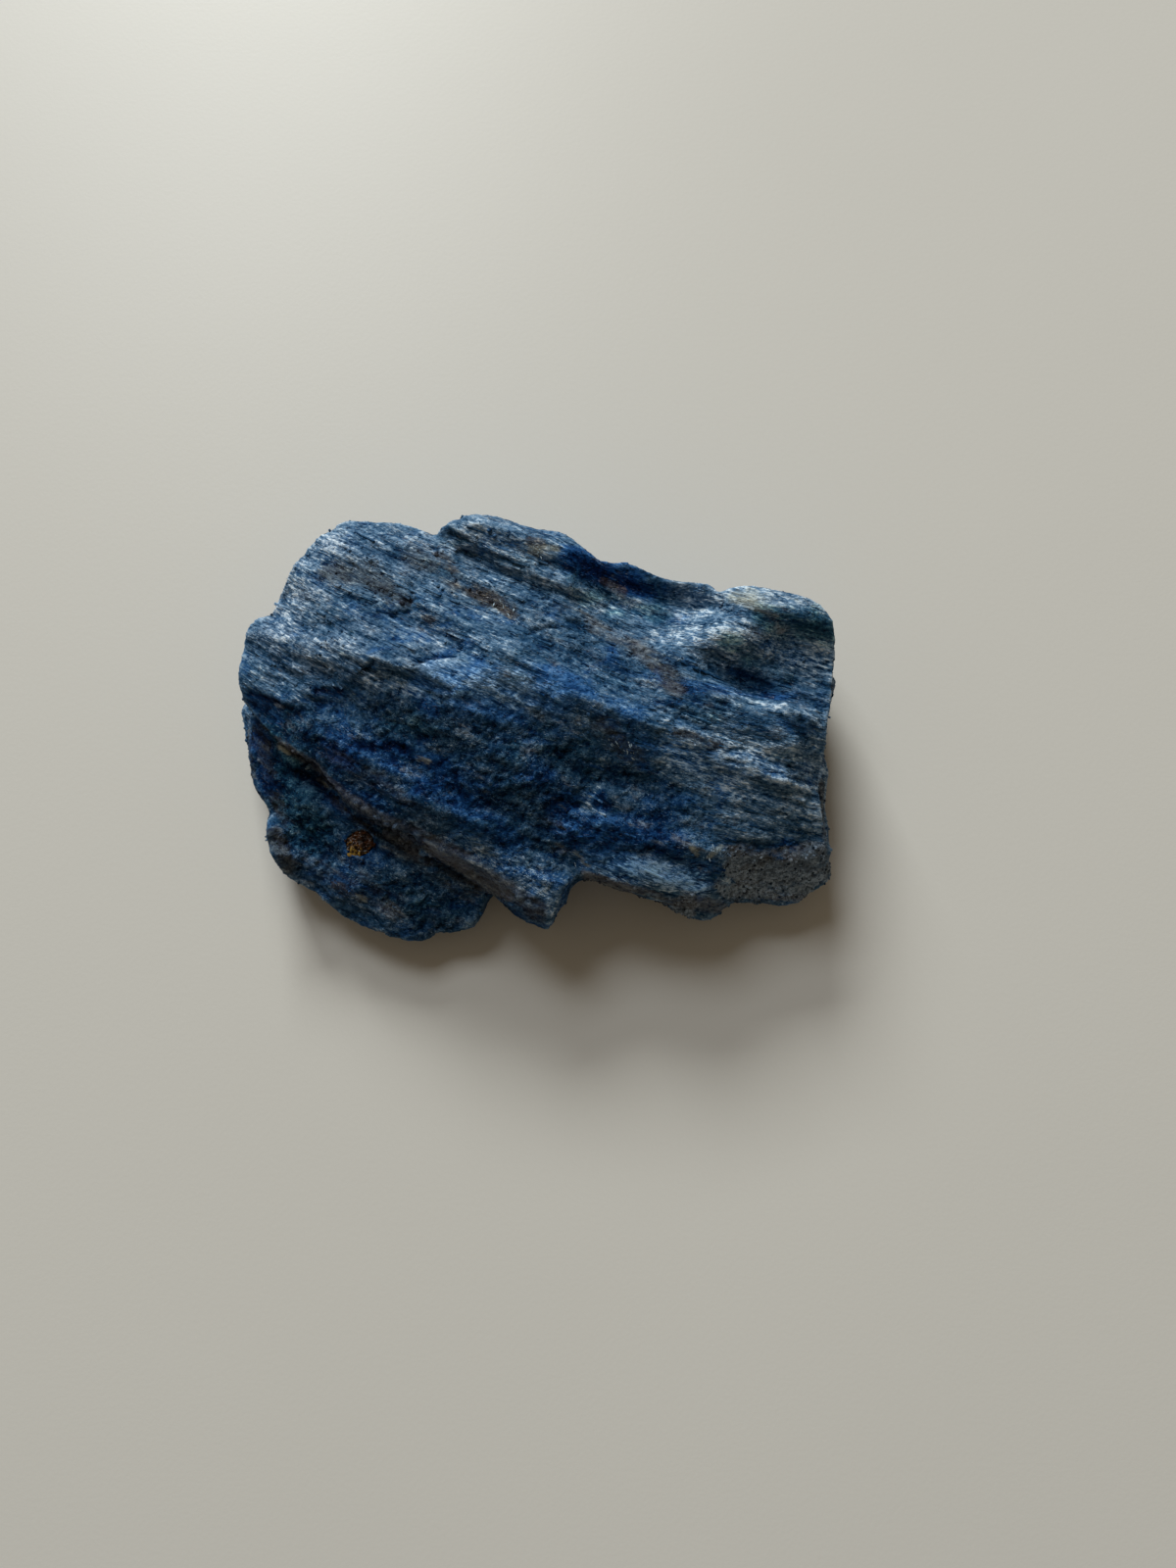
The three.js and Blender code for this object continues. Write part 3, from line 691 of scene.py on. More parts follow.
@dataclass(frozen=True)
class FibrousBlue:
    """Silky blue fibres, from near black between them to pale on their crests, the dark partly
    painted shade and the pale partly painted highlight.
    """

    name: str = "fibrous_blue"
    gloss: float = 0.035
    rough: float = 0.58
    shades: tuple[tuple[float, Colour], ...] = (
        (0.00, (0.0000, 0.0032, 0.0150)),
        (0.24, (0.0008, 0.0130, 0.0450)),
        (0.385, (0.0052, 0.0325, 0.0860)),
        (0.50, (0.0180, 0.0635, 0.1380)),
        (0.62, (0.0475, 0.1130, 0.2090)),
        (0.76, (0.1120, 0.2020, 0.3250)),
        (0.91, (0.2850, 0.4050, 0.5500)),
        (1.00, (0.5300, 0.6400, 0.7500)),
    )
    royal: Colour = (0.50, 0.92, 1.38)
    teal: Colour = (0.80, 1.10, 1.00)
    lavender: Colour = (1.16, 0.990, 0.955)
    mauve: Colour = (0.040, 0.046, 0.066)
    tan: Colour = (0.170, 0.168, 0.176)
    ash: Colour = (0.205, 0.250, 0.290)
    olive: Colour = (0.078, 0.088, 0.090)
    umber: Colour = (0.031, 0.030, 0.033)
    rust: Colour = (0.040, 0.028, 0.020)
    gilt: Colour = (0.210, 0.150, 0.085)
    cream: Colour = (0.400, 0.420, 0.350)
    grey: Colour = (0.370, 0.460, 0.580)
    drab: Colour = (0.136, 0.178, 0.232)
    clay: Colour = (0.140, 0.150, 0.168)
    speck: Colour = (0.006, 0.008, 0.011)

    def lightness(self, g: ShaderGraph, w: Weave) -> Link:
        """How light the fibres are, with painted shade in dips, clefts and under navy strokes, and
        painted highlights on bumps, ridges and glints.

        Args:
            g: The material's tree.
            w: Its swells and masks.

        Returns:
            A number that the shades are read by, about 0 to 1.
        """
        # breakup makes the painted ridge highlight and cleft shade ragged
        breakup = g.step(w.patchy + w.dashes * 0.4, -0.6, 0.4)
        value = (0.50 + (w.tone - 0.5) * 0.60 + w.streak * 0.215 + w.bundles * 0.07
                 + w.cloud * 0.095)
        # painted shade in small dips and painted highlight on small bumps, from the hollow trait
        value = value + w.hair * (0.26 + w.matted * 0.08) - g.mask(Trait.HOLLOW) * 0.60
        # lighter under the pale strokes: pale needles, and painted light over shaded places
        value = value + w.pale * (0.13 + (w.dashes + w.threads) * 0.12)
        # painted highlight along the ridges
        value = value + g.mask(Zone.RIDGE) * breakup * 0.12
        # painted glints under the glint strokes
        spark = g.step(w.dashes + w.threads * 0.6, 0.0, 0.9)
        value = value + g.mask(Zone.GLINT) * (0.04 + spark * 0.26)
        # painted shade under the navy strokes; the matted felt is darker in its own colour
        value = value - g.mask(Zone.NAVY_AND_SHADE) * 0.20 - w.matted * 0.145
        # painted shade along the clefts
        return value - g.mask(Zone.CLEFT) * breakup * 0.18

    def blues(self, g: ShaderGraph, w: Weave, value: Link) -> Link:
        """The colour of the fibres.

        Args:
            g: The material's tree.
            w: Its swells and masks.
            value: How light they are.

        Returns:
            The colour.
        """
        colour = g.node("ShaderNodeValToRGB", {"stops": list(self.shades)},
                        {"Fac": value}, "Color")
        bright = g.step(value, 0.55, 0.90)
        deep = (w.hue + 0.08 + w.matted * 0.30) * (1.0 - bright * 0.75)
        deep = deep + g.mask(Zone.NAVY_AND_SHADE) * 0.7 + g.mask(Zone.ROYAL) * 0.60
        deep = deep - g.mask(Zone.TEAL) * 0.6
        colour = g.leaned(g.step(deep, 0.15, 0.9) * 0.85, colour, self.royal)
        green = g.step(g.mask(Zone.TEAL) - w.hue * 0.8, 0.20, 1.2)
        colour = g.leaned(green, colour, self.teal)
        lilac = g.step(w.cloud * 0.8 - w.hue * 0.4 + g.mask(Zone.LILAC) * 1.1, 0.30, 1.3)
        return g.leaned(lilac * (1.0 - bright * 0.8), colour, self.lavender)

    def rocks(self, g: ShaderGraph, w: Weave, colour: Link) -> Link:
        """Lays the rock, the seams, the stains and the milky edges over the fibres.

        Args:
            g: The material's tree.
            w: Its swells and masks.
            colour: The fibres' colour.

        Returns:
            The colour with the rest on it.
        """
        rock = g.math("MAXIMUM", g.mask(Zone.MATRIX), g.mask(Zone.WALL) * 0.10)
        rock = g.step(rock * 1.05 + w.patchy * 0.45 + w.cloud * 0.25, 0.42, 1.12)
        earth = g.tint(g.step(w.streak + w.grit * 0.5, -0.6, 0.5), self.umber, self.olive)
        earth = g.tint(g.step(w.streak + w.hair, 0.5, 1.4), earth, self.ash)
        colour = g.tint(rock * 0.72, colour, earth)
        seam = g.patch(Zone.SEAM, w.threads * 0.4 + w.patchy * 0.6, 0.25, 0.95, 0.55)
        # lighter tan under the pale strokes, painted light among them
        loam = (w.cloud * 0.6 + w.grit * 0.7 + w.streak * 0.5 + (w.tone - 0.5) * 1.5
                + w.pale * 0.8)
        loam = g.tint(g.step(loam, -0.7, 1.0), self.mauve, self.tan)
        colour = g.tint(seam * (0.62 + w.felt * 0.35), colour, loam)
        rust = g.patch(Zone.RUST, w.patchy * 0.5 + w.threads * 0.5, 0.45, 1.0, 1.0)
        ochre = g.tint(g.step(w.grit + w.dashes * 0.5, 0.15, 0.75), self.rust, self.gilt)
        colour = g.tint(rust * 0.62, colour, ochre)
        grey = g.patch(Zone.GRANULAR, w.patchy + w.cloud * 0.7, 0.25, 0.85, 0.75)
        colour = g.tint(grey * 0.82, colour, self.grains(g, w))
        milk = g.patch(Zone.CREAM, w.threads * 0.5 + w.patchy * 0.5, 0.42, 1.15, 0.70)
        return g.tint(milk * 0.80, colour, self.cream)

    def grains(self, g: ShaderGraph, w: Weave) -> Link:
        """The colour of the grey rock.

        Args:
            g: The material's tree.
            w: Its swells and masks.

        Returns:
            The colour.
        """
        grain = g.tint(g.step(w.hue + w.cloud * 0.5, -0.1, 0.5), self.drab, self.clay)
        # the pale strokes add painted light to the grey rock's shaded side
        light = (w.felt * 1.2 + w.grit * 1.5 + w.cloud * 0.4 + (w.tone - 0.5) * 1.6
                 + w.pale * 0.8)
        grain = g.tint(g.step(light, 0.0, 1.6), grain, self.grey)
        dark = w.felt * 0.7 + w.grit * 1.3 - (w.tone - 0.5) * 0.8
        grain = g.tint(g.step(dark, -1.3, -0.25), self.speck, grain)
        return g.tint(g.step(g.cells(g.place, 0.92, 5.0) + w.felt * 0.07, 0.16, 0.24),
                      self.speck, grain)

    def material(self) -> bpy.types.Material:
        """Builds the shader.

        Returns:
            The material.
        """
        g = ShaderGraph(self.name)
        w = Weave(g)
        value = self.lightness(g, w)
        colour = self.rocks(g, w, self.blues(g, w, value))
        rough = self.rough - g.step(value, 0.50, 1.0) * 0.16 + w.grit * 0.05
        height = w.streak * 0.45 + w.hair * 0.25 + g.mask(Zone.GRANULAR) * w.grit * 0.5
        return g.finish({"Base Color": colour, "Roughness": rough,
                         "Specular IOR Level": self.gloss, "IOR": 1.5,
                         "Normal": g.bump(height, 0.13, 0.9)})


@dataclass(frozen=True)
class Amber:
    """Dark see-through amber, speckled gold towards its lower rim, where the gold is a painted
    highlight.
    """

    centre: Point
    reach: float
    name: str = "amber"
    deep: Colour = (0.014, 0.004, 0.002)
    honey: Colour = (0.150, 0.045, 0.007)
    gold_highlight: Colour = (0.480, 0.290, 0.045)

    def material(self) -> bpy.types.Material:
        """Builds the shader.

        Returns:
            The material.
        """
        g = ShaderGraph(self.name)
        veil = g.swell(g.place, (0.7, 0.7, 0.7), 7.0, 3.0, 0.6, 0.8)
        fleck = g.swell(g.place, (2.2, 2.2, 2.2), 17.0, 2.0)
        x, y, _ = g.parts(g.place)
        low = ((x - self.centre[0]) * -0.45 - (y - self.centre[1]) * 0.89) / self.reach
        colour = g.tint(g.step(veil + fleck * 0.8, -0.3, 0.9), self.deep, self.honey)
        # painted highlight: gold specks grow towards the lower rim
        colour = g.tint(g.step(low + fleck * 0.9, 0.45, 1.15), colour, self.gold_highlight)
        rough = 0.22 + g.step(fleck, 0.0, 0.8) * 0.25
        return g.finish({"Base Color": colour, "Roughness": rough, "IOR": 1.54,
                         "Transmission Weight": 0.35, "Specular IOR Level": 0.22,
                         "Normal": g.bump(fleck, 0.10, 0.8)})


@dataclass(frozen=True)
class Mica:
    """Bright thin flakes."""

    name: str = "mica"
    dull: Colour = (0.20, 0.29, 0.38)
    silver: Colour = (0.46, 0.61, 0.74)

    def material(self) -> bpy.types.Material:
        """Builds the shader.

        Returns:
            The material.
        """
        g = ShaderGraph(self.name)
        wave = g.noise(g.place, (2.0, 2.0, 2.0), 3.0, 2.0)
        colour = g.tint(wave, self.dull, self.silver)
        return g.finish({"Base Color": colour, "Roughness": 0.14 + wave * 0.2, "IOR": 1.6})


@dataclass(frozen=True)
class DeskPaint:
    """Pale matt desk paint with a very fine tooth."""

    name: str = "desk_paint"
    light: Colour = (0.640, 0.628, 0.600)
    dark: Colour = (0.610, 0.598, 0.570)

    def material(self) -> bpy.types.Material:
        """Builds the shader.

        Returns:
            The material.
        """
        g = ShaderGraph(self.name)
        tooth = g.noise(g.place, (1.6, 1.6, 1.6), 5.0, 3.0, 0.6)
        broad = g.noise(g.place, (0.02, 0.02, 0.02), 9.0, 2.0)
        colour = g.tint(tooth * 0.5 + broad * 0.5, self.dark, self.light)
        return g.finish({"Base Color": colour, "Roughness": 0.40,
                         "Specular IOR Level": 0.26,
                         "Normal": g.bump(tooth, 0.03, 0.35)})


# ---------------------------------------------------------------- painting


@dataclass(frozen=True)
class Stroke:
    """One brush stroke, seen from above."""

    width: float
    strength: float
    path: tuple[Point, ...]

    def weight(self, spots: np.ndarray) -> np.ndarray:
        """How strongly the stroke covers each spot.

        Args:
            spots: N x 2 places in millimetres.

        Returns:
            N numbers from 0 to the stroke's strength.
        """
        ends = self.path if len(self.path) > 1 else self.path * 2
        nearest = np.full(len(spots), np.inf)
        for start, stop in zip(ends, ends[1:]):
            a, b = np.array(start), np.array(stop)
            span = b - a
            share = np.clip((spots - a) @ span / max(float(span @ span), 1e-9), 0.0, 1.0)
            gap = np.linalg.norm(spots - (a + share[:, None] * span), axis=1)
            nearest = np.minimum(nearest, gap)
        fade = np.clip(STROKE_CORE - nearest / self.width * STROKE_FALL, 0.0, 1.0)
        return self.strength * fade * fade * (3.0 - 2.0 * fade)


def strokes(*rows: tuple[float, float, *tuple[Point, ...]]) -> tuple[Stroke, ...]:
    """Strokes of one zone, each from a width, a strength and the points of its path."""
    return tuple(Stroke(width, strength, tuple(path)) for width, strength, *path in rows)


STROKES: dict[Zone, tuple[Stroke, ...]] = {
    Zone.PALE_AND_PAINTED_LIGHT: strokes(
        (1.93, 0.7, (-25.5, 25.5), (-31.9, 20.3), (-33.8, 17.1)),
        (3.03, 0.65, (-28.5, 21.9), (-29.5, 17.4), (-31.6, 12.4)),
        (2.2, 0.35, (-33.9, 14.2), (-30.7, 10.7), (-24.3, 7.6)),
        (1.79, 0.8, (-29.0, 21.5), (-31.8, 17.4), (-32.3, 13.1)),
        (1.38, 0.45, (-23.5, 24.9), (-17.4, 23.4), (-12.9, 22.5)),
        (0.83, 0.7, (-18.8, 4.5), (-12.8, 2.8), (-8.4, 2.0)),
        (0.69, 0.7, (-30.8, 2.7), (-25.2, 3.4)),
        (0.83, 0.6, (-27.1, 0.2), (-24.2, -1.1), (-19.8, -2.9)),
        (1.93, 1.2, (-10.5, 3.0), (-5.9, 2.8), (2.8, 1.2)),
        (2.48, 0.4, (-4.7, -0.3), (7.8, -2.6)),
        (1.38, 0.12, (12.7, -0.1), (22.9, -1.9)),
        (1.93, 0.4, (20.3, -1.7), (30.5, -4.4), (37.5, -5.2)),
        (2.48, 0.55, (19.1, -6.8), (28.1, -8.9), (37.4, -10.4)),
        (1.79, 0.85, (-7.6, 23.6), (0.1, 20.9), (4.6, 18.8)),
        (0.96, 0.45, (-10.0, 22.8), (-5.1, 20.6)),
        (1.65, 0.35, (-12.0, 5.1), (-6.4, 3.9)),
        (2.48, 1.0, (-0.4, -18.5), (0.7, -21.6)),
        (0.96, 0.7, (1.6, -22.4), (2.9, -24.6)),
        (1.38, 0.25, (-27.1, 8.0), (-24.6, 5.2)),
        (1.24, 0.7, (8.5, 12.6), (12.1, 10.9)),
        (1.38, 0.65, (24.3, 9.6), (27.1, 8.7), (31.6, 6.9)),
        (2.34, 1.35, (25.4, 10.3), (32.3, 9.5), (38.3, 8.6)),
        (1.38, 0.3, (32.7, 11.9), (37.8, 9.7)),
        (1.38, 0.3, (5.2, -13.5), (12.8, -14.9)),
        (0.69, 0.85, (7.8, -8.5), (9.3, -6.2)),
        (1.1, 0.6, (7.2, -10.4), (8.3, -11.6)),
        (0.96, 0.6, (6.7, -10.0), (8.5, -12.3)),
        (1.93, 0.2, (-11.8, 19.6), (-5.0, 16.6), (2.7, 11.2)),
        (0.69, 0.55, (-6.9, 26.3), (-1.2, 24.1)),
        (1.1, 0.55, (-10.9, 22.9), (-5.1, 20.2), (0.7, 17.3)),
        (1.65, 1.0, (20.2, 14.5), (23.4, 15.7), (24.9, 16.1)),
        (1.24, 0.95, (17.0, 10.9), (20.7, 11.9), (24.9, 11.4)),
        (0.96, 0.65, (14.1, 8.8), (17.4, 10.1)),
        (1.79, 1.0, (26.0, 15.7), (29.4, 15.8), (33.3, 15.7), (36.7, 14.7)),
        (1.24, 0.8, (21.5, 13.7), (22.5, 10.6)),
        (0.41, 0.5, (28.0, 2.1), (31.9, 0.8), (34.1, 0.3)),
        (2.06, 1.0, (19.0, -5.6), (27.9, -6.4), (39.5, -6.6)),
        (0.48, 1.0, (23.1, -2.0), (26.4, -3.3), (30.5, -4.7)),
        (0.83, 0.6, (36.2, 0.7)),
        (0.96, 0.4, (20.4, 5.0), (22.9, 3.8)),
        (1.1, 0.3, (12.8, 4.9), (20.3, 2.7)),
        (1.93, 1.45, (-6.4, -17.8), (-2.2, -19.2), (3.0, -21.9)),
        (1.24, 0.6, (-1.2, -18.5), (4.2, -20.3)),
        (1.51, 0.55, (8.6, -19.1), (15.4, -20.4), (22.3, -21.7)),
        (1.51, 1.6, (14.4, -18.7), (18.0, -19.7), (22.1, -20.6)),
        (1.1, 0.55, (8.5, -18.8), (14.1, -19.9)),
        (0.83, 1.1, (6.2, -17.4), (8.3, -19.1)),
        (0.48, 0.7, (-19.2, -4.7), (-17.5, -4.0)),
        (0.62, 0.75, (-16.5, -7.6), (-13.5, -7.1)),
        (0.69, 1.0, (9.3, -8.6), (8.1, -10.4), (6.5, -12.8)),
        (1.1, 0.35, (-20.6, -19.2), (-14.5, -22.3)),
        (0.69, 0.5, (5.8, -13.2), (9.0, -13.8)),
        (0.96, 0.35, (-18.3, -0.4), (-12.3, -2.1)),
        (1.65, 0.4, (19.1, -13.4), (25.6, -13.6), (38.6, -14.3)),
        (0.83, 0.45, (-32.3, -13.1), (-27.9, -12.4)),
        (0.96, 0.35, (-10.2, -0.5), (-2.2, -1.0)),
        (1.1, 2.1, (2.4, -21.5), (3.8, -24.5)),
        (0.83, 1.2, (-13.6, -16.3), (-9.3, -18.4), (-5.4, -20.7), (-1.3, -23.6)),
        (0.96, 0.6, (-19.0, -13.8), (-15.3, -16.6)),
        (1.79, 1.05, (7.2, 15.4), (11.6, 15.1), (14.9, 14.6)),
        (0.89, 1.25, (-20.3, 4.4), (-17.0, 3.6), (-13.2, 2.5), (-9.4, 1.7)),
        (0.55, 0.8, (-30.2, 2.6), (-27.7, 2.5), (-24.9, 1.6)),
        (0.69, 0.7, (-8.5, 22.1), (-0.4, 18.2), (7.2, 15.4)),
        (1.51, 1.0, (26.3, -20.3), (39.8, -20.7)),
        (0.83, 0.6, (-0.1, 18.2), (3.9, 16.5), (7.8, 15.2)),
        (0.96, 0.55, (2.7, 20.5), (4.2, 19.1), (5.0, 17.3))),
    Zone.NAVY_AND_SHADE: strokes(
        (1.38, 0.32, (19.1, 2.1), (26.6, -0.4), (34.9, -1.7)),
        (1.38, 0.32, (-5.9, 6.6), (0.3, 5.4), (7.1, 3.7)),
        (1.24, 0.6, (20.3, 2.9), (30.9, 3.5), (38.5, 2.9)),
        (1.1, 0.55, (17.4, 14.5), (20.5, 13.7)),
        (0.96, 0.2, (8.5, -16.9), (12.9, -17.4)),
        (0.83, 0.4, (-21.5, -10.1), (-17.8, -12.3)),
        (0.83, 0.45, (-2.1, -24.9)),
        (0.69, 0.45, (-10.7, 19.5), (-8.9, 17.9)),
        (0.69, 0.4, (-3.2, -22.9), (1.0, -25.2)),
        (0.55, 0.45, (-27.0, -8.9), (-24.6, -11.1), (-21.1, -13.6)),
        (1.79, 1.4, (5.7, 20.1), (9.3, 19.8), (13.0, 18.9)),
        (1.51, 0.8, (13.0, 18.9), (17.2, 17.6)),
        (0.89, 0.8, (30.7, 12.7), (33.2, 13.3), (39.6, 12.2)),
        (1.1, 0.85, (-36.9, 3.6), (-30.9, 1.0)),
        (0.41, 0.7, (-14.1, 6.3), (-12.2, 6.9), (-10.0, 7.5)),
        (0.55, 0.9, (-27.9, 3.8), (-24.6, 3.4)),
        (0.83, 0.8, (-22.8, -3.2), (-16.0, -4.1)),
        (1.24, 0.3, (-8.4, 1.3), (-2.2, -1.0), (2.7, -2.9)),
        (2.48, 0.5, (-32.4, 0.4), (-24.1, -4.6)),
        (2.48, 0.4, (-12.5, -8.6), (-4.9, -12.4)),
        (1.93, 0.55, (2.7, -8.7), (5.2, -13.5)),
        (0.69, 0.9, (4.1, -14.5), (6.0, -16.2)),
        (0.83, 0.9, (9.3, -10.5), (10.0, -11.3)),
        (1.51, 0.8, (8.5, -14.3), (19.1, -16.4)),
        (0.96, 0.8, (21.4, -18.9), (24.7, -19.8)),
        (1.65, 0.2, (10.2, -0.2), (15.2, -5.2)),
        (0.69, 0.5, (-27.6, -9.1), (-24.5, -11.2), (-21.4, -12.8)),
        (1.38, 0.75, (-36.9, -0.1), (-34.7, -7.8)),
        (0.69, 0.2, (-7.9, 9.1), (-2.1, 4.2)),
        (0.83, 0.6, (35.6, -0.5)),
        (0.69, 0.8, (-18.2, -6.1), (-16.3, -6.8)),
        (1.1, 0.6, (-11.8, -6.2), (-9.3, -8.7)),
        (0.69, 0.4, (32.3, -15.9), (38.6, -15.6)),
        (1.51, 0.85, (-37.2, 0.2), (-35.3, -7.1))),
    Zone.TEAL: strokes(
        (1.38, 0.6, (25.5, 9.1), (33.6, 6.0)),
        (1.65, 0.35, (6.5, 15.3), (15.6, 13.7)),
        (1.79, 0.5, (7.5, 15.4), (13.0, 15.0), (17.1, 14.1)),
        (1.38, 0.6, (-17.7, -0.4), (-12.4, -1.8)),
        (0.96, 0.5, (20.8, 0.1), (23.7, -0.4)),
        (3.03, 0.95, (-34.0, -0.7), (-33.5, -7.2), (-29.6, -13.7)),
        (1.93, 0.5, (-21.3, -21.7), (-12.3, -24.9)),
        (2.2, 0.4, (2.1, -3.9), (7.8, -7.3)),
        (1.24, 0.2, (3.9, 19.7), (7.8, 17.0)),
        (1.79, 1.0, (30.6, 13.1), (39.7, 11.7)),
        (1.65, 0.4, (-1.0, -4.0), (7.8, -3.9))),
    Zone.RUST: strokes(
        (0.96, 0.75, (-13.5, 24.9)),
        (0.96, 0.85, (-11.8, 21.7), (-9.8, 19.1), (-9.4, 17.5)),
        (0.96, 1.0, (-7.4, 16.4), (-4.3, 15.1), (-2.1, 13.0)),
        (0.55, 1.0, (-13.3, 12.7), (-12.4, 12.3)),
        (0.69, 0.4, (-30.0, 8.4), (-27.4, 6.8)),
        (0.83, 1.0, (0.3, 22.5), (1.7, 21.9)),
        (0.83, 0.85, (9.8, 18.2), (12.4, 17.2)),
        (0.69, 0.75, (-33.5, -1.8), (-31.2, -3.5)),
        (0.83, 0.8, (-26.4, -20.8), (-25.2, -21.9)),
        (0.55, 0.8, (23.6, -3.3), (24.9, -3.9)),
        (0.83, 0.5, (19.0, -2.2), (22.2, -3.0)),
        (0.69, 0.45, (-12.9, -13.6), (-12.0, -14.8)),
        (0.69, 0.4, (22.9, -17.1), (25.4, -17.4))),
    Zone.MATRIX: strokes(
        (1.24, 0.45, (22.9, 3.3), (31.0, 3.9)),
        (1.24, 0.55, (2.2, 20.1), (3.4, 16.9)),
        (1.65, 0.95, (-26.8, 19.4), (-21.9, 18.2), (-18.5, 16.7), (-16.1, 15.0)),
        (1.24, 0.6, (-25.2, 20.9), (-20.4, 19.7)),
        (1.65, 0.5, (-26.8, 11.8), (-24.3, 7.9), (-26.1, 5.5)),
        (0.96, 0.15, (-27.7, 7.2), (-23.6, 5.0)),
        (1.65, 0.75, (-16.0, 21.5), (-11.5, 19.6), (-9.5, 17.1)),
        (1.51, 0.85, (-7.6, 16.2), (-2.4, 13.7)),
        (1.1, 0.42, (-6.9, 24.1), (0.2, 21.7), (3.4, 19.7)),
        (1.1, 0.55, (2.2, 17.1), (3.9, 13.9)),
        (0.83, 0.8, (-10.4, 19.2), (-8.9, 18.1)),
        (1.79, 0.75, (8.3, 12.2), (13.1, 9.8)),
        (1.93, 0.8, (14.7, 8.9), (19.1, 3.7)),
        (1.38, 0.5, (5.8, 14.1), (12.8, 7.6)),
        (1.51, 0.45, (20.3, 3.1), (27.9, -0.7)),
        (1.1, 0.3, (26.0, 7.4), (30.0, 4.8)),
        (1.38, 0.3, (33.7, 9.4), (37.1, 5.9)),
        (1.79, 0.7, (9.2, -2.0), (13.8, -5.4)),
        (1.1, 0.7, (19.2, -2.4), (25.1, -4.4)),
        (0.83, 0.4, (16.1, -14.6), (19.1, -15.9)),
        (0.55, 0.6, (19.7, -16.7), (25.4, -17.4)),
        (3.03, 0.42, (-32.1, -11.2), (-28.3, -16.4), (-18.7, -21.7), (-12.3, -24.9)),
        (1.79, 0.45, (-4.1, -6.4), (2.1, -12.3)),
        (1.65, 0.4, (12.8, -6.8), (22.9, -9.2)),
        (1.38, 0.95, (-34.7, -13.9), (-33.1, -18.0)),
        (1.51, 0.7, (-19.3, -15.0), (-15.3, -17.6)),
        (1.24, 0.55, (-14.7, -18.5), (-8.2, -22.3)),
        (0.83, 0.65, (-4.8, -21.5), (0.7, -25.1)),
        (0.48, 1.0, (7.2, -19.7), (12.9, -21.5), (19.6, -23.3)),
        (0.83, 0.75, (-27.0, -9.2), (-24.6, -11.4), (-21.1, -13.9), (-16.2, -16.7), (-11.3, -18.9),
         (-7.4, -21.3)),
        (0.69, 1.0, (39.2, -7.2), (39.2, -14.9)),
        (0.83, 0.8, (-40.0, 2.7), (-38.6, -5.4)),
        (1.24, 0.5, (-26.8, -19.4), (-23.4, -22.3)),
        (1.1, 0.35, (0.9, 0.8), (7.8, -1.2)),
        (0.55, 0.6, (-38.0, 2.8), (-38.7, -1.5)),
        (1.51, 0.64, (-37.4, 0.2), (-35.6, -7.1), (-33.7, -12.1))),
    Zone.CREAM: strokes(
        (1.24, 0.9, (27.0, 15.9), (29.3, 14.8)),
        (1.1, 0.72, (28.9, 16.3), (31.1, 14.1)),
        (0.96, 0.58, (31.5, 16.0), (34.8, 15.1)),
        (0.48, 0.7, (6.9, -17.9), (7.8, -18.8)),
        (1.1, 0.55, (9.3, 12.7), (11.8, 10.9)),
        (0.83, 0.5, (15.6, 8.2), (17.1, 6.9)),
        (0.69, 0.5, (19.9, 5.9), (20.9, 4.8)),
        (0.58, 0.78, (-14.0, -5.4), (-12.8, -5.8)),
        (0.41, 0.9, (-34.1, -2.3), (-32.8, -3.3)),
        (0.44, 0.48, (-30.6, -4.6), (-29.2, -5.9), (-27.2, -8.3)),
        (0.62, 0.65, (-23.3, -22.0), (-22.5, -22.7)),
        (0.48, 0.85, (21.1, -16.9), (21.9, -17.6)),
        (0.48, 0.85, (23.5, -17.7), (25.2, -16.4)),
        (0.62, 0.75, (0.3, 21.3), (3.7, 21.4)),
        (0.41, 0.65, (6.0, -16.9), (7.1, -18.3)),
        (0.41, 0.45, (-10.6, -8.6), (-9.9, -10.1))),
    Zone.GRANULAR: strokes(
        (1.93, 0.95, (27.3, -18.6), (32.7, -19.2), (39.3, -18.8)),
        (0.96, 0.75, (25.9, -17.1), (29.4, -16.5)),
        (0.83, 0.7, (30.3, -17.2), (33.7, -16.6)),
        (0.96, 0.6, (24.4, -20.2), (25.8, -21.8)),
        (1.1, 0.8, (35.6, -16.4), (38.7, -16.6)),
        (2.2, 1.0, (28.9, -21.4), (37.1, -20.7)),
        (1.51, 1.0, (21.0, -23.6)),
        (0.83, 0.85, (19.7, -23.8))),
    Zone.MATTED: strokes(
        (2.48, 1.0, (-25.0, -8.5), (-17.9, -13.0), (-10.9, -16.8), (-2.5, -21.3), (1.6, -24.0)),
        (6.05, 1.0, (-28.2, -2.5), (-17.6, -5.4), (-7.3, -8.7)),
        (4.68, 1.0, (-17.6, -1.1), (-4.7, -3.5), (5.2, -6.1)),
        (6.33, 1.0, (-7.3, -6.4), (2.7, -13.5), (0.1, -18.5)),
        (4.95, 0.9, (7.8, -7.3), (17.8, -13.6)),
        (6.05, 1.0, (-34.9, -4.5), (-29.7, -15.0), (-12.3, -24.2)),
        (3.03, 0.35, (7.8, 2.9), (12.7, 0.6)),
        (3.58, 0.35, (2.7, 9.2), (10.3, 7.7), (19.1, 3.7)),
        (1.65, 0.55, (10.3, -17.4), (20.5, -19.1)),
        (2.2, 0.55, (28.4, 6.0), (33.6, 9.9)),
        (1.93, 0.6, (6.5, 18.6), (13.0, 17.1)),
        (3.58, 0.6, (2.8, -0.4), (12.7, -4.1))),
    Zone.MICA: strokes(
        (0.69, 0.75, (11.0, -3.8), (13.1, -4.9)),
        (0.48, 0.6, (0.5, 21.1), (3.4, 21.2)),
        (0.55, 0.8, (-4.3, 14.6), (-2.4, 13.4)),
        (0.41, 0.5, (28.6, 15.7), (30.7, 15.1)),
        (0.34, 1.0, (6.0, -18.8), (6.3, -19.1)),
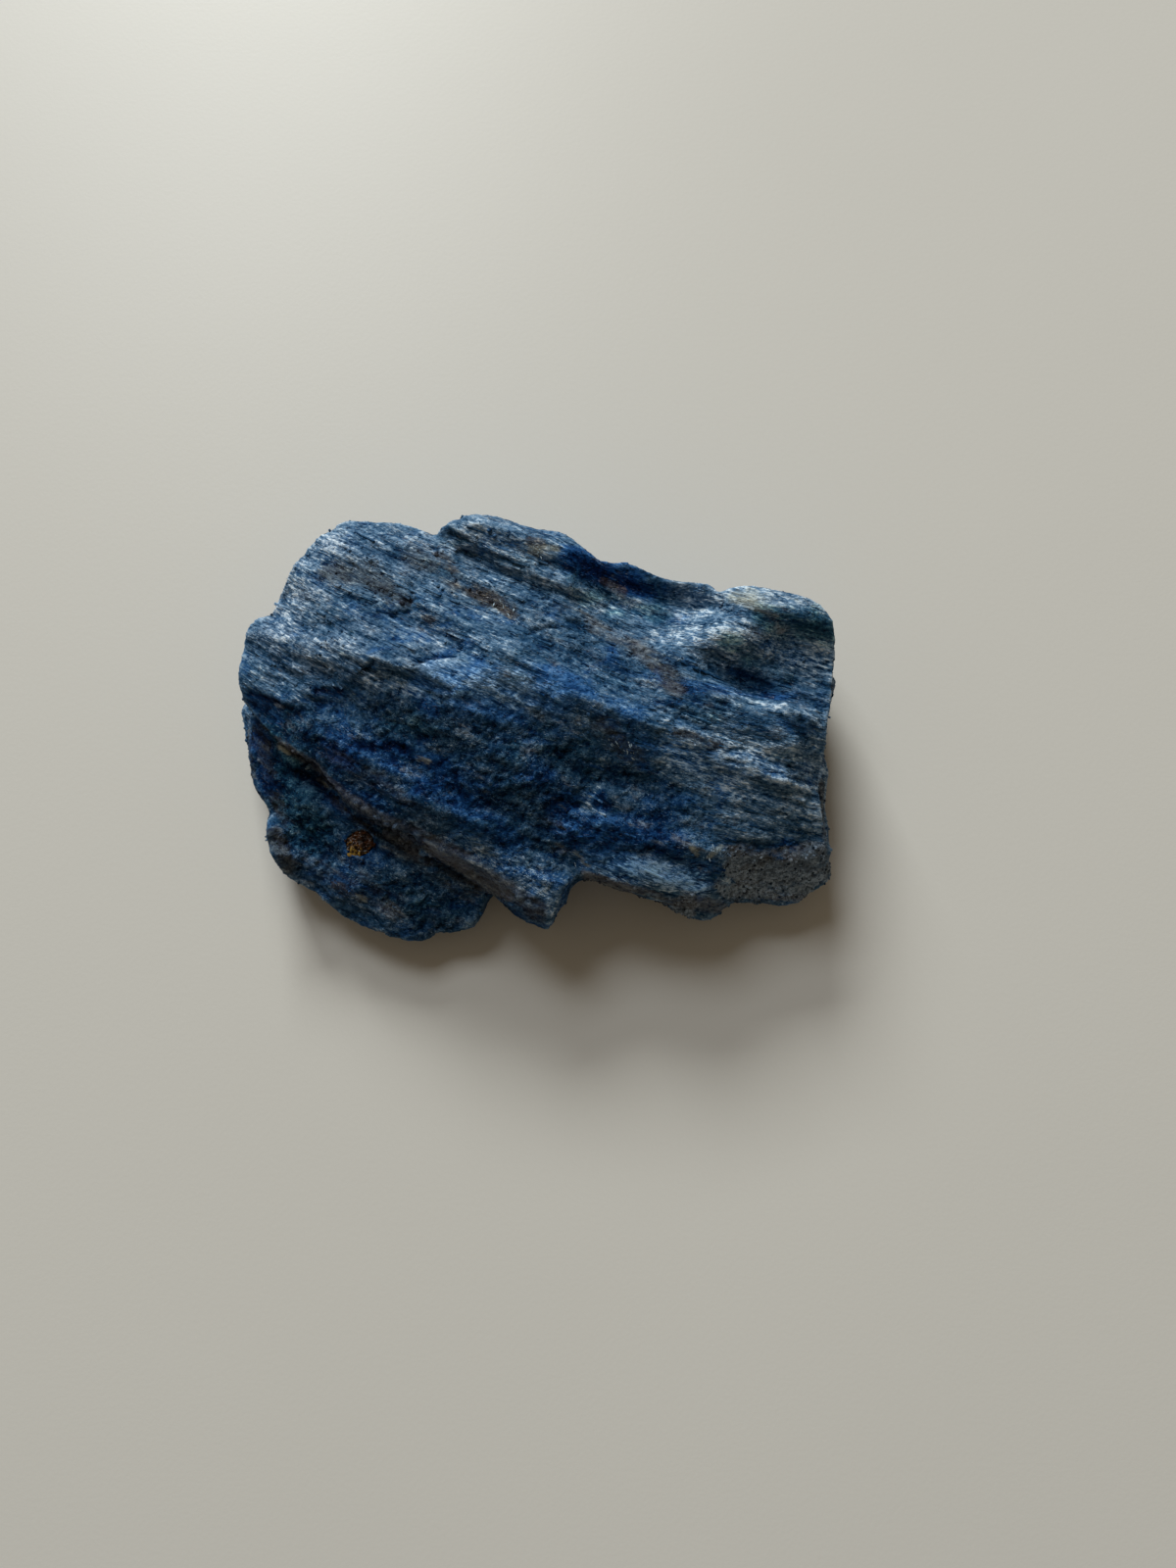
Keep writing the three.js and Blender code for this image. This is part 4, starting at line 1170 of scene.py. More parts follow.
        (0.41, 0.7, (23.5, -17.5), (25.2, -16.5))),
    Zone.TURN: strokes(
        (3.03, 0.55, (20.9, 16.9), (22.1, 12.1)),
        (1.93, 0.35, (26.4, 16.2), (33.4, 16.0))),
    Zone.SMOOTH: strokes(
        (2.75, 1.0, (5.2, 19.6), (13.0, 17.9), (19.6, 17.1)),
        (2.2, 0.85, (7.8, 14.4), (15.5, 12.3), (20.7, 12.5)),
        (1.93, 0.6, (26.4, 16.2), (35.9, 15.0)),
        (1.93, 0.7, (32.1, 11.9), (39.0, 10.1)),
        (2.2, 0.45, (-7.6, 24.3), (1.4, 20.3)),
        (2.2, 0.6, (-33.2, -0.2), (-32.1, -7.3))),
    Zone.RIDGE: strokes(
        (0.25, 0.4, (-7.1, -18.2), (-2.5, -20.8), (3.0, -23.8)),
        (0.28, 0.8, (-12.2, 13.1), (-7.3, 9.6), (-2.2, 5.8), (0.3, 4.0)),
        (0.3, 0.7, (-20.2, 4.0), (-16.0, 3.4), (-11.9, 2.4), (-8.4, 1.9)),
        (0.25, 0.6, (8.6, 5.8), (12.8, 4.9), (16.8, 4.0)),
        (0.22, 0.55, (10.0, 3.4), (15.5, 1.3)),
        (0.33, 0.7, (-4.6, 2.8), (0.9, 1.0), (7.8, -1.2)),
        (0.25, 0.45, (15.4, -3.0), (16.9, -2.0), (18.5, -0.3)),
        (0.3, 0.9, (22.4, -2.9), (26.1, -3.6), (30.2, -4.7)),
        (0.36, 0.9, (14.0, -4.1), (20.3, -5.2), (26.7, -6.5), (36.6, -9.0)),
        (0.33, 0.7, (30.1, 2.8), (34.5, 0.5), (38.3, -0.9)),
        (0.33, 0.8, (26.1, 2.8), (29.2, 2.0), (32.3, 0.6)),
        (0.25, 0.7, (9.1, -15.7), (10.3, -13.4)),
        (0.33, 0.7, (-27.1, 0.2), (-23.5, -1.4), (-19.5, -3.1)),
        (0.33, 0.7, (-30.8, 2.8), (-25.2, 3.5)),
        (0.3, 0.6, (-27.4, 22.9), (-21.5, 19.5), (-16.8, 17.8)),
        (0.3, 0.7, (-14.2, 23.1), (-9.0, 21.0), (-2.5, 17.9)),
        (0.33, 0.6, (12.9, -17.4), (17.9, -18.7), (22.5, -20.0)),
        (0.33, 0.6, (15.3, -10.2), (21.7, -11.8), (28.2, -12.6)),
        (0.33, 0.6, (29.4, -9.9), (38.3, -12.4))),
    Zone.CLEFT: strokes(
        (0.3, 0.9, (-27.0, -8.9), (-24.6, -11.1), (-21.1, -13.6), (-16.2, -16.5), (-11.3, -18.6),
         (-7.4, -21.0)),
        (0.22, 0.8, (-14.1, 6.3), (-12.2, 6.9), (-10.0, 7.5)),
        (0.3, 0.8, (-13.9, 5.9), (-12.2, 6.9), (-9.5, 7.0)),
        (0.36, 0.8, (-27.8, 3.5), (-24.6, 3.6), (-21.6, 4.7), (-19.5, 6.0)),
        (0.25, 0.65, (-10.5, 24.3), (-7.8, 22.8), (-6.3, 21.7), (-2.4, 19.9), (0.1, 18.6)),
        (0.25, 0.7, (-16.5, 18.0), (-15.0, 16.8), (-15.1, 14.7)),
        (0.28, 0.6, (-17.7, 9.5), (-14.8, 9.0)),
        (0.28, 0.6, (0.2, 10.5), (2.2, 11.2), (4.1, 11.3)),
        (0.41, 0.45, (24.1, 8.3), (26.7, 7.1), (29.5, 5.8), (32.8, 3.9)),
        (0.22, 0.55, (25.2, 16.7), (25.5, 15.8), (25.2, 14.7)),
        (0.3, 0.55, (25.7, -16.1), (28.3, -15.5), (32.3, -15.8)),
        (0.28, 0.8, (4.2, -14.2), (5.5, -14.7), (6.1, -16.2)),
        (0.39, 0.7, (-37.3, 4.1), (-33.6, 2.6), (-30.5, 1.1)),
        (0.28, 0.5, (12.8, 2.8), (19.0, 0.8), (24.8, -1.5)),
        (0.28, 0.6, (26.0, -5.6), (31.7, -7.4), (36.7, -8.1)),
        (0.47, 0.6, (-22.8, -3.1), (-18.9, -3.8), (-16.0, -4.2)),
        (0.28, 0.5, (-10.4, 10.5), (-7.2, 7.2), (-2.1, 4.2)),
        (0.25, 0.5, (-23.5, 15.9), (-19.5, 13.7), (-16.3, 12.2))),
    Zone.RUBBLE: strokes(
        (0.96, 1.0, (-19.9, -13.3), (-16.5, -15.0), (-13.0, -17.9)),
        (0.55, 0.55, (-11.8, -19.2), (-6.7, -21.9)),
        (0.69, 0.55, (-32.3, -3.2), (-28.8, -7.2))),
    Zone.SEAM: strokes(
        (1.24, 0.6, (8.3, 12.2), (13.9, 9.7)),
        (1.51, 0.5, (14.6, 8.6), (19.1, 3.2)),
        (2.48, 0.38, (-29.6, -17.7), (-18.7, -23.0), (-11.0, -26.2)),
        (0.58, 1.0, (-34.1, -2.0), (-31.6, -3.5), (-29.1, -5.1), (-24.9, -8.8), (-20.8, -11.7)),
        (0.96, 0.72, (-24.5, -9.6), (-20.8, -11.9), (-15.9, -14.2), (-10.9, -16.3), (-7.1, -18.5),
         (-2.5, -21.4), (1.6, -24.1)),
        (1.24, 0.45, (-17.9, -13.5), (-12.8, -16.0), (-6.7, -19.4)),
        (0.83, 0.5, (-34.3, -13.2), (-32.8, -16.8)),
        (0.96, 0.55, (-1.3, -23.1), (1.6, -25.4)),
        (0.48, 0.8, (7.2, -19.6), (12.9, -21.4), (19.6, -23.2)),
        (1.1, 0.85, (20.3, -23.1), (25.9, -23.7)),
        (1.93, 0.42, (-26.2, -3.9), (-19.6, -8.4), (-13.8, -12.3)),
        (1.1, 0.8, (-19.0, -13.8), (-15.3, -16.6)),
        (0.83, 0.95, (-13.5, -16.1), (-7.3, -19.7), (-2.6, -22.5))),
    Zone.LILAC: strokes(
        (1.93, 0.8, (-32.1, -18.0), (-21.5, -23.8), (-12.4, -26.8)),
        (2.75, 0.8, (-22.3, -8.3), (-17.7, -10.3), (-13.9, -13.2)),
        (4.68, 0.75, (-25.9, 22.6), (-31.5, 16.8), (-33.2, 12.6)),
        (4.12, 1.0, (-33.6, 11.0), (-27.9, 7.8), (-21.0, 5.9)),
        (3.3, 0.6, (-20.6, 22.4), (-12.8, 20.9), (-7.6, 18.1)),
        (3.58, 0.8, (-22.5, 11.2), (-13.5, 8.3)),
        (3.3, 0.35, (25.6, 4.2), (35.6, -1.1)),
        (3.58, 0.22, (26.7, -6.2), (38.1, -11.9)),
        (1.24, 0.6, (21.0, 2.7), (30.8, 3.2), (38.2, 2.6)),
        (2.48, 0.5, (-24.2, -0.8), (-15.0, -6.1)),
        (2.75, 0.6, (-15.2, -12.2), (-2.4, -18.4))),
    Zone.TALUS: strokes(
        (0.9, 1.0, (-38.0, 2.3), (-36.0, 0.1), (-34.0, -1.9), (-32.0, -4.3), (-30.0, -4.5),
         (-28.0, -5.9), (-26.0, -8.3), (-24.0, -11.1))),
    Zone.GLINT: strokes(
        (1.24, 0.35, (-1.2, -19.1), (0.7, -21.6)),
        (1.51, 2.0, (11.1, -18.9), (21.6, -20.7)),
        (0.33, 1.3, (9.4, -8.3), (8.1, -10.4), (6.0, -13.4)),
        (0.28, 1.1, (11.0, -13.4), (9.3, -15.7)),
        (0.28, 0.9, (7.5, -11.4), (10.0, -12.6)),
        (0.55, 1.1, (1.2, 21.6), (4.5, 21.4)),
        (1.1, 1.0, (20.1, 12.3), (22.4, 14.4), (24.9, 15.8)),
        (0.69, 1.3, (19.3, 11.4), (22.1, 12.1), (24.0, 10.9)),
        (0.83, 1.0, (20.5, 9.6), (23.0, 10.5), (26.1, 11.1)),
        (1.1, 0.9, (26.8, 16.9), (29.1, 15.2), (32.1, 16.2)),
        (0.3, 1.2, (30.0, 1.5), (34.5, 0.5)),
        (1.1, 0.4, (-25.6, 22.6), (-28.8, 20.1), (-31.5, 17.4)),
        (1.38, 0.75, (-30.4, 19.0), (-32.1, 12.4)),
        (1.38, 0.3, (-32.1, 10.8), (-26.5, 8.9), (-20.6, 7.1)),
        (1.1, 0.45, (-36.2, 6.2), (-30.8, 2.9)),
        (0.69, 0.6, (9.7, -18.9), (12.9, -19.5)),
        (0.55, 0.9, (1.6, -21.9), (3.3, -23.2)),
        (0.41, 0.8, (6.7, -18.0), (7.8, -19.0)),
        (1.65, 0.4, (-11.8, 19.6), (-2.4, 15.9)),
        (1.65, 0.35, (-16.2, 11.2), (-8.6, 8.5)),
        (0.96, 0.45, (22.8, -2.8), (31.8, -5.1)),
        (1.24, 0.45, (-8.3, 2.9), (2.8, 1.2), (12.7, -1.0))),
    Zone.ROYAL: strokes(
        (1.93, 0.5, (25.4, 10.3), (32.3, 9.5), (38.3, 8.6)),
        (2.75, 1.0, (-12.0, 3.9), (-4.6, 2.8), (4.0, 1.5)),
        (2.75, 0.5, (4.0, 1.5), (12.7, -0.8)),
        (1.93, 0.62, (19.0, -5.6), (27.9, -6.4), (39.5, -6.6)),
        (1.93, 0.25, (-12.3, 8.4), (-4.6, 4.2)),
        (2.75, 0.3, (2.7, -1.5), (12.8, -5.1)),
        (1.93, 0.2, (15.2, 0.1), (25.4, -1.9)),
        (1.65, 0.15, (25.4, -4.4), (37.6, -6.0)),
        (1.93, 0.2, (30.5, -8.0), (38.1, -9.9)),
        (1.65, 0.4, (-8.9, 23.5), (2.7, 19.1)),
        (2.75, 0.25, (6.5, -12.3), (15.3, -16.7)),
        (1.93, 1.2, (8.8, -18.1), (15.4, -19.4), (22.1, -20.8)),
        (2.48, 0.55, (-2.4, -16.6), (2.6, -22.2)),
        (2.48, 0.5, (-17.6, -4.8), (-8.7, -9.8)),
        (1.38, 0.1, (-41.1, 5.1), (-32.5, -0.9)),
        (1.65, 0.4, (6.7, 15.7), (11.7, 15.7), (16.6, 14.3)),
        (1.65, 0.25, (6.0, 19.9), (14.3, 18.4))),
}


# ---------------------------------------------------------------- the stone


@dataclass
class Crystal:
    """The amber crystal, with lumps grown on it, in a pocket of the lower shelf."""

    centre: Point = (-23.05, -15.25)
    length: float = 4.1
    breadth: float = 3.5
    turn: float = 0.5  # radians
    pocket: float = 1.1
    dish: float = 0.5
    lip: float = 1.02  # where the pocket ends, as a share of the half size
    bank: float = 0.25  # how far inwards from there its wall reaches
    around: tuple[float, float] = (1.25, 1.7)  # the ring that gives the shelf's height
    shade: tuple[float, float] = (1.08, 0.22)  # middle and breadth of the ring of painted shade
    proud: float = 0.20
    rings: tuple[tuple[float, float, int], ...] = (
        (0.42, 1.00, 5), (0.80, 0.72, 7), (1.00, 0.30, 8), (1.02, -0.25, 8),
        (0.86, -1.10, 7), (0.50, -1.75, 5))  # share of the half size, height, corners
    bevel: float = 0.05
    flat_within: float = 9.0  # degrees
    lumps: int = 44
    seed: int = 17

    def reach(self, spots: np.ndarray) -> np.ndarray:
        """How far each spot is from the middle, as a share of the crystal's half size.

        Args:
            spots: N x 2 places in millimetres.

        Returns:
            N numbers, 1 at the rim.
        """
        cos, sin = math.cos(self.turn), math.sin(self.turn)
        x, y = (spots - np.array(self.centre)).T
        return np.hypot((x * cos + y * sin) / (self.length / 2),
                        (y * cos - x * sin) / (self.breadth / 2))

    def level(self, places: np.ndarray, normals: np.ndarray) -> float:
        """Height of the shelf round the crystal.

        Args:
            places: N x 3 places of the skin in millimetres.
            normals: N x 3 normals.

        Returns:
            The height in millimetres.
        """
        far = self.reach(places[:, :2])
        nearest, farthest = self.around
        ring = (far > nearest) & (far < farthest) & (normals[:, 2] > 0.4)
        return float(np.median(places[ring, 2]))

    def sink(self, places: np.ndarray, normals: np.ndarray, level: float) -> np.ndarray:
        """Presses the pocket into the skin.

        Args:
            places: N x 3 places of the skin in millimetres.
            normals: N x 3 normals.
            level: Height of the shelf round the crystal.

        Returns:
            The places with the pocket in them.
        """
        far = self.reach(places[:, :2])
        inside = faded(far, self.lip, -self.bank)
        top = (normals[:, 2] > -0.2) & (places[:, 2] > level - 3.0)
        floor = level - self.pocket + self.dish * np.clip(far, 0.0, 1.0) ** 2
        share = np.where(top, inside * inside * (3.0 - 2.0 * inside), 0.0)
        places = places.copy()
        places[:, 2] += share * (floor - places[:, 2])
        return places

    def shadow(self, spots: np.ndarray) -> np.ndarray:
        """How far each spot is in the ring of painted shade round the crystal, from 0 to 1."""
        middle, breadth = self.shade
        return np.clip(1.0 - abs(self.reach(spots) - middle) / breadth, 0.0, 1.0)

    def spot(self, angle: float, out: float, height: float) -> Vector:
        """A place before the crystal is turned, by its angle, share outwards and height."""
        return Vector((out * self.length / 2 * math.cos(angle),
                       out * self.breadth / 2 * math.sin(angle), height))

    def build(self, level: float) -> bpy.types.Object:
        """Cuts the faceted crystal.

        Args:
            level: Height of the shelf round it, in millimetres.

        Returns:
            The piece.
        """
        rng = np.random.default_rng(self.seed)
        bm = bmesh.new()
        for number, (share, height, corners) in enumerate(self.rings):
            for corner in range(corners):
                angle = math.tau * (corner + 0.5 * (number % 2)) / corners + rng.uniform(-0.3, 0.3)
                out = share * rng.uniform(0.93, 1.04)
                z = level + height * self.proud + rng.uniform(-0.05, 0.05)
                if height < 0:
                    z = level + height * self.pocket * 0.8
                bm.verts.new(self.spot(angle, out, z))
        hull = bmesh.ops.convex_hull(bm, input=bm.verts)
        loose = [item for item in hull["geom_interior"] + hull["geom_unused"]
                 if isinstance(item, bmesh.types.BMVert)]
        bmesh.ops.delete(bm, geom=list(dict.fromkeys(loose)), context="VERTS")
        bmesh.ops.dissolve_limit(bm, angle_limit=math.radians(self.flat_within),
                                 verts=bm.verts, edges=bm.edges)
        bmesh.ops.bevel(bm, geom=bm.edges, offset=self.bevel, segments=1, affect="EDGES")
        for _ in range(self.lumps):
            angle, out = rng.uniform(0.0, math.tau), rng.uniform(0.25, 1.04)
            size = rng.uniform(0.24, 0.52)
            place = Matrix.Translation(
                self.spot(angle, out, level + self.proud * (0.75 - 0.8 * out)))
            turn = Matrix.Rotation(rng.uniform(0.0, math.tau), 4, Vector(rng.normal(size=3)))
            squash = Matrix.Diagonal((size, size * rng.uniform(0.6, 1.0), size * 0.6, 1.0))
            bmesh.ops.create_icosphere(bm, subdivisions=1, radius=1.0,
                                       matrix=place @ turn @ squash)
        place = (Matrix.Translation((self.centre[0], self.centre[1], 0.0))
                 @ Matrix.Rotation(self.turn, 4, "Z"))
        bmesh.ops.transform(bm, matrix=Matrix.Scale(MM, 4) @ place, verts=bm.verts)
        bmesh.ops.recalc_face_normals(bm, faces=bm.faces)
        bmesh.ops.triangulate(bm, faces=bm.faces)
        mesh = mesh_from("amber_crystal", bm)
        mesh.materials.append(Amber(self.centre, self.breadth / 2).material())
        return placed("amber_crystal", mesh)


@dataclass
class StoneBody:
    """The stone's skin: the solid's form with its needles, ledges and grains raised."""

    cell: float = 0.395
    smoothing: int = 1
    bundles: float = 0.20
    threads: float = 0.19
    ledges: float = 0.21
    ridges: float = 0.32
    clefts: float = 0.50
    matting: float = 0.60
    lumps: float = 1.10
    talus: float = 1.3
    grains: float = 0.45
    pits: float = 0.60
    foot: float = 1.6
    dips: int = 7  # rounds of blur that show a small dip
    edges: int = 30  # rounds that show a broad one, or an edge
    upward: tuple[float, float] = (-0.55, 0.35)  # where a normal's rise lets paint hold
    skyward: tuple[float, float, float] = (-0.05, 0.30, 0.15)  # the same for the light paint, with its painted light and glints
    steep: tuple[float, float] = (0.55, -0.5)  # where its rise makes a wall
    apron: float = 2.5  # how far above the shelf fallen rock lies
    crystal: Crystal = field(default_factory=Crystal)
    shelf_level: float = 0.0

    def fine_copy(self) -> bpy.types.Mesh:
        """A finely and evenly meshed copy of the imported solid.

        Returns:
            The mesh, in metres.
        """
        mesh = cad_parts[STONE_NODE].data.copy()
        bm = bmesh.new()
        bm.from_mesh(mesh)
        bmesh.ops.remove_doubles(bm, verts=bm.verts, dist=MERGE)
        bm.to_mesh(mesh)
        bm.free()
        holder = placed("solid_copy", mesh)
        remesh = holder.modifiers.new("remesh", "REMESH")
        remesh.mode = "VOXEL"
        remesh.voxel_size = self.cell * MM
        smooth = holder.modifiers.new("smooth", "SMOOTH")
        smooth.factor = 0.5
        smooth.iterations = self.smoothing
        fine = plain_mesh(holder)
        fine.materials.clear()
        return fine

    def paint(self, mesh: bpy.types.Mesh) -> None:
        """Presses the crystal's pocket and stores every zone on the vertices.

        Args:
            mesh: The fine mesh.
        """
        count = len(mesh.vertices)
        places = np.empty(count * 3)
        normals = np.empty(count * 3)
        mesh.vertices.foreach_get("co", places)
        mesh.vertex_normals.foreach_get("vector", normals)
        places = places.reshape(-1, 3) / MM
        normals = normals.reshape(-1, 3)
        self.shelf_level = self.crystal.level(places, normals)
        places = self.crystal.sink(places, normals, self.shelf_level)
        masks = {zone: np.zeros(count) for zone in Zone}
        up = faded(normals[:, 2], *self.upward)
        lit = faded(normals[:, 2], *self.skyward) * up
        spots = places[:, :2]
        for zone, group in STROKES.items():
            # the pale, glint and lilac paint, painted light and glints among it, holds only where
            # a face turns up
            shown = lit if zone in (Zone.PALE_AND_PAINTED_LIGHT, Zone.GLINT, Zone.LILAC) else up
            for stroke in group:
                masks[zone] = np.maximum(masks[zone], stroke.weight(spots) * shown)
        # painted shade in a ring round the crystal, where it sits in its pocket
        masks[Zone.NAVY_AND_SHADE] = np.maximum(masks[Zone.NAVY_AND_SHADE],
                                      self.crystal.shadow(spots) * 0.75 * up)
        low = (normals[:, 2] > 0.3) & (places[:, 2] < self.shelf_level + self.apron)
        places[:, 2] += masks[Zone.TALUS] * low * self.talus
        mesh.vertices.foreach_set("co", (places * MM).ravel())
        masks[Zone.WALL] = faded(normals[:, 2], *self.steep)
        masks[Zone.WALL] *= 1.0 - np.clip(masks[Zone.PALE_AND_PAINTED_LIGHT] * 1.2, 0.0, 1.0)
        for zone, values in masks.items():
            layer = mesh.attributes.new(zone.value, "FLOAT", "POINT")
            layer.data.foreach_set("value", values.astype(np.float32))
        mesh.update()

    def relief(self, material: bpy.types.Material, mesh: bpy.types.Mesh) -> bpy.types.Object:
        """Raises the needle bundles, ledges, felt and grains.

        Args:
            material: The stone's finish.
            mesh: The painted fine mesh.

        Returns:
            The stone's skin.
        """
        g = ShapeGraph("stone_relief", {
            "Bundles": self.bundles, "Threads": self.threads, "Ledges": self.ledges,
            "Ridges": self.ridges, "Clefts": self.clefts, "Matting": self.matting,
            "Lumps": self.lumps, "Grains": self.grains, "Pits": self.pits, "Foot": self.foot})
        along = g.grain(g.place)
        matted = g.mask(Zone.MATTED)
        granular = g.mask(Zone.GRANULAR)
        calm = 1.0 - g.mask(Zone.SMOOTH) * 0.6
        fibrous = (1.0 - matted * 0.85) * (1.0 - granular * 0.9)
        bundle = g.ridged(g.noise(along, (0.08, 0.48, 0.48), 2.0, 1.0, 0.4, 0.3))
        thread = g.ridged(g.blend(g.sideness(g.normal), *(
            g.noise(place, (0.24, 1.15, 1.15), 12.0, 1.0, 0.4, 0.2)
            for place in (along, g.level(along)))))
        stair = g.noise(along, (0.055, 0.21, 1.20), 22.0, 2.0, 0.5, 0.4) * 8.0
        tread = g.math("FLOOR", stair) + g.step(g.math("FRACT", stair), 0.72, 1.0)
        felt = g.noise(g.place, (0.95, 1.05, 1.05), 32.0, 3.0, 0.6, 0.8)
        clods = g.cells(g.place, 0.95, 42.0)
        holes = g.step(g.noise(g.place, (0.50, 0.62, 0.62), 52.0, 2.0, 0.5), 0.62, 0.74)
        height = (bundle - 0.5) * g.size("Bundles") + (thread - 0.5) * g.size("Threads")
        height = height * fibrous
        broken = g.step(g.noise(g.place, (0.10, 0.16, 0.16), 62.0, 2.0), 0.38, 0.60)
        height = height + (tread - stair) * g.size("Ledges") * (
            (broken * 0.75 + 0.25) * (1.0 - granular * 0.6) * (1.0 - matted * 0.85))
        height = height + (felt - 0.5) * g.size("Matting") * (matted * 1.6 + 0.35)
        lumps = g.noise(g.place, (0.24, 0.30, 0.30), 72.0, 2.0, 0.55, 0.6)
        height = height + (lumps - 0.5) * g.size("Lumps") * (matted + 0.2)
        height = height + (0.45 - clods) * g.size("Grains") * (granular + g.mask(Zone.WALL) * 0.4)
        height = height - holes * g.size("Pits") * (granular * 0.8 + g.mask(Zone.MATRIX) * 0.5
                                                    + 0.25)
        z = g.parts(g.place)[2]
        facing = g.parts(g.normal)[2]
        height = height * g.blend(g.step(facing, 0.0, 0.6), 0.55, 1.0) * calm
        breakup = g.step(g.noise(along, (0.22, 0.50, 0.50), 82.0, 2.0), 0.36, 0.56)
        height = height + (g.mask(Zone.RIDGE) * g.size("Ridges") - g.mask(Zone.CLEFT)
                           * g.size("Clefts")) * breakup * g.step(facing, -0.2, 0.5)
        foot = g.step(z, 0.15, g.size("Foot"))
        # the tone follows the relief: lighter on raised threads and bundles, and darker in the
        # pits as painted shade
        tone = 0.5 + (thread - 0.5) * 0.45 * fibrous + (bundle - 0.5) * 0.25 - holes * 0.25
        tone = tone + (felt - 0.5) * 0.9 * matted
        form = g.store(g.base(), Trait.LIE, g.normal, "FLOAT_VECTOR")
        form = g.moved(g.store(form, Trait.TONE, g.clamped(tone)), g.normal, height * foot)
        form = g.store(form, Trait.HOLLOW, g.clamped(g.sunken(self.dips), -0.5, 0.5))
        form = g.store(form, Trait.RIM, g.sunken(self.edges))
        return g.run("stone_skin", mesh, g.shaded(form, True), material)

    def build(self, material: bpy.types.Material) -> bpy.types.Object:
        """Makes the whole skin.

        Args:
            material: The stone's finish.

        Returns:
            The piece that stands for the solid.
        """
        mesh = self.fine_copy()
        self.paint(mesh)
        return self.relief(material, mesh)


@dataclass
class Needles:
    """Elongated needles that lie along the grain, half sunk in the skin."""

    name: str
    density: float
    longest: float
    shortest: float
    broadest: float
    narrowest: float
    stray: float
    tone_low: float
    tone_high: float
    seed: int
    flatness: float = 0.7
    lift: float = 0.0
    pale_bias: float = 0.0
    felt_bias: float = 0.0
    form: Form = Form.SPINDLE

    def one(self, g: ShapeGraph) -> Link:
        """One needle of unit size, along X.

        Args:
            g: The tree that it is made in.

        Returns:
            The geometry.
        """
        if self.form is Form.SPINDLE:
            return g.node("GeometryNodeMeshUVSphere", feeds={
                "Segments": 4, "Rings": 2, "Radius": 0.5}, output="Mesh")
        return g.node("GeometryNodeTransform", feeds={
            "Geometry": g.rod(5), "Rotation": (0.0, math.pi / 2, 0.0)})

    def share(self, g: ShapeGraph) -> Link:
        """Where the needles stand, as a share of their density.

        Args:
            g: The tree that they grow in.

        Returns:
            The share.
        """
        facing = g.parts(g.normal)[2]
        share = (1.0 - g.mask(Zone.GRANULAR) * 0.92) * g.clear()
        share = share * g.blend(g.step(facing, -0.1, 0.5), 0.14, 1.0)
        share = share * g.blend(g.size("Felt bias"), 1.0, g.mask(Zone.MATTED))
        if self.form is Form.BLADE:
            share = share * g.step(g.mask(Trait.RIM), -0.30, -0.05)
        return share * g.blend(g.size("Pale bias"), 1.0, 0.35 + g.mask(Zone.PALE_AND_PAINTED_LIGHT) * 1.3)

    def course(self, g: ShapeGraph, out: Link) -> Link:
        """Which way the needles run: along their layers, or level on the long sides.

        Args:
            g: The tree that they grow in.
            out: Unit vector out of the skin.

        Returns:
            The unit vector along each needle.
        """
        x = g.parts(g.place)[0]
        swing = g.swell(g.place, (0.14, 0.14, 0.14), 5.0, 2.0)
        fall = x * (2.0 * GRAIN_BEND) + GRAIN_FALL + swing * 0.14
        layer = g.joined(fall + swing * (0.12 * LAYER_LEAN), -1.0, -LAYER_LEAN)
        side = g.sideness(out)
        course = g.vector("ADD", g.scaled(g.vector("CROSS_PRODUCT", out, layer), 1.0 - side),
                          g.scaled(g.joined(1.0, fall, swing * 0.12), side + 0.15))
        course = g.node("ShaderNodeVectorRotate", {"rotation_type": "Z_AXIS"},
                        {"Vector": course, "Angle": g.mask(Zone.TURN)})
        stray = g.size("Stray") + g.mask(Zone.MATTED) * 0.55
        return g.vector("NORMALIZE", g.vector(
            "ADD", course, g.scaled(g.random_vector(1), stray)))

    def build(self, skin: bpy.types.Object, material: bpy.types.Material) -> bpy.types.Object:
        """Grows the needles on the skin.

        Args:
            skin: The stone's skin.
            material: The finish.

        Returns:
            The piece.
        """
        g = ShapeGraph(self.name, {
            "Density": self.density, "Longest": self.longest, "Shortest": self.shortest,
            "Broadest": self.broadest, "Narrowest": self.narrowest, "Stray": self.stray,
            "Tone low": self.tone_low, "Tone high": self.tone_high, "Flatness": self.flatness,
            "Lift": self.lift, "Pale bias": self.pale_bias, "Felt bias": self.felt_bias,
            "Seed": self.seed})
        points = g.strewn(self.share(g))
        out = g.vector("NORMALIZE", g.vector(
            "ADD", g.scaled(points.other("Normal"), 0.45),
            g.scaled(g.mask(Trait.LIE, "FLOAT_VECTOR"), 0.55)))
        course = self.course(g, out)
        rise = g.dot(course, out)
        axis = g.vector("NORMALIZE", g.vector(
            "SUBTRACT", course, g.scaled(out, rise * 0.97)))
        turned = g.turned("XZ", axis, g.vector("ADD", out, g.scaled(g.random_vector(2), 0.35)))
        share = g.random(3) ** 1.6
        length = g.blend(share, g.size("Shortest"), g.size("Longest"))
        length = length * (1.0 - abs(rise) * 0.40) * (1.0 - g.mask(Zone.MATTED) * 0.40)
        length = length * g.blend(g.step(g.mask(Trait.RIM), -0.50, -0.12), 0.22, 1.0)
        breadth = g.blend(g.random(4), g.size("Narrowest"), g.size("Broadest"))
        thick = breadth * g.size("Flatness")
        wave = g.noise(g.grain(g.place), (0.10, 0.75, 0.75), 8.0, 1.0) - 0.5
        tone = g.blend(g.random(5), g.size("Tone low"), g.size("Tone high")) + wave * 0.5
